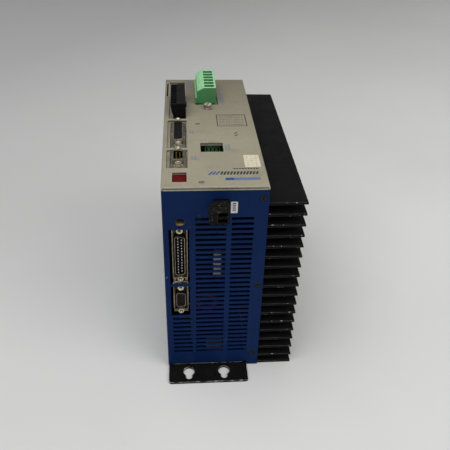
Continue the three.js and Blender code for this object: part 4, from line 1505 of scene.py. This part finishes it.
def floor_finish():
    """Pale, with painted shade darkening it towards the far left."""
    f = Finish("pale_floor", rough=0.7)
    tone = f.patches("dededd", "d6d6d5", 3.0, 4.0, 0.3, 0.7)
    across = f.add("ShaderNodeSeparateXYZ", Vector=f.place)
    back = f.maths("MULTIPLY", across.node.outputs[1], -0.7)
    # Painted shade: darker towards the far left.
    tone = f.mix(f.span(f.maths("ADD", across, back), 0.2, -0.9), tone, "b9b9b9")
    return f.coat(tone, None, (60.0, 5.0, 0.2, 0.2))


def plain_floor():
    """A pale floor that turns up into a wall all round, far from the drive."""
    flat, bend, rim, count = 2.4, 0.8, 1.9, 96
    profile = [(0.4, 0.0), (1.2, 0.0), (flat, 0.0)]
    for i in range(1, 13):
        angle = math.pi / 2 * i / 12
        profile.append((flat + bend * math.sin(angle), bend - bend * math.cos(angle)))
    profile.append((flat + bend, rim))
    work = bmesh.new()
    rows = [[work.verts.new(p) for p in circle(radius, z, count)] for radius, z in profile]
    work.faces.new(rows[0])
    for row, following in zip(rows, rows[1:]):
        for i in range(count):
            j = (i + 1) % count
            work.faces.new((row[i], following[i], following[j], row[j]))
    floor = made("pale_floor", work)
    floor.data.shade_smooth()
    floor.data.materials.append(floor_finish())


def soft_light(name, place, target, size, power):
    light = bpy.data.lights.new(name, "AREA")
    light.shape = "DISK"
    light.size = size
    light.energy = power
    lamp = linked(bpy.data.objects.new(name, light))
    lamp.location = place
    aim = Vector(target) - Vector(place)
    lamp.rotation_euler = aim.to_track_quat("-Z", "Y").to_euler()


def studio():
    """Seamless pale floor, a broad key light from above and a weak fill."""
    plain_floor()
    soft_light("key_light", (-0.5, -0.5, 2.0), (0, 0, 0.1), 2.6, 33.0)
    soft_light("right_fill", (1.3, -1.0, 1.4), (0.3, -0.2, 0.0), 1.6, 14.0)
    world = bpy.data.worlds.new("studio")
    world.use_nodes = True
    sky = world.node_tree.nodes["Background"].inputs
    sky["Color"].default_value = (1.0, 1.0, 1.0, 1.0)
    sky["Strength"].default_value = 0.285
    bpy.context.scene.world = world
    bpy.context.scene.view_settings.view_transform = "Standard"


def viewpoint():
    """A camera above the keyhole end, looking down at the front panel and the near wall."""
    yaw, pitch, roll = (math.radians(a) for a in (4.77, 34.09, 1.61))
    level_aim = Vector((math.sin(yaw), math.cos(yaw), 0.0))
    forward = level_aim * math.cos(pitch) - Vector((0.0, 0.0, math.sin(pitch)))
    level = Vector((math.cos(yaw), -math.sin(yaw), 0.0))
    upright = level.cross(forward)
    right = level * math.cos(roll) + upright * math.sin(roll)
    up = upright * math.cos(roll) - level * math.sin(roll)
    lens = bpy.data.cameras.new("camera")
    lens.sensor_width = 36.0
    lens.lens = 46.08
    camera = linked(bpy.data.objects.new("camera", lens))
    place = TO_FRAME @ Vector((17.323, -360.412, 398.334))
    turn = Matrix((right, up, -forward)).transposed().to_4x4()
    camera.matrix_world = Matrix.Translation(place) @ turn
    bpy.context.scene.camera = camera


viewpoint()
studio()
heat_sink()
blue_cover()
mounting_plate()
front_panel()
connector_shelf()
connector_bracket()
screws()
earth_screw()
d_connector("feedback", 25, "male", True, HIGHLIT_PIN)
d_connector("encoder", 9, "female", True, GOLD)
d_connector("io", 25, "female", False, GOLD)
d_connector("serial", 9, "male", False, GOLD)
power_plug()
logic_plug()
brake_plug()
brake_header()
option_header()
partition()
display()
insides()
panel_print()
labels()

bpy.context.view_layer.update()
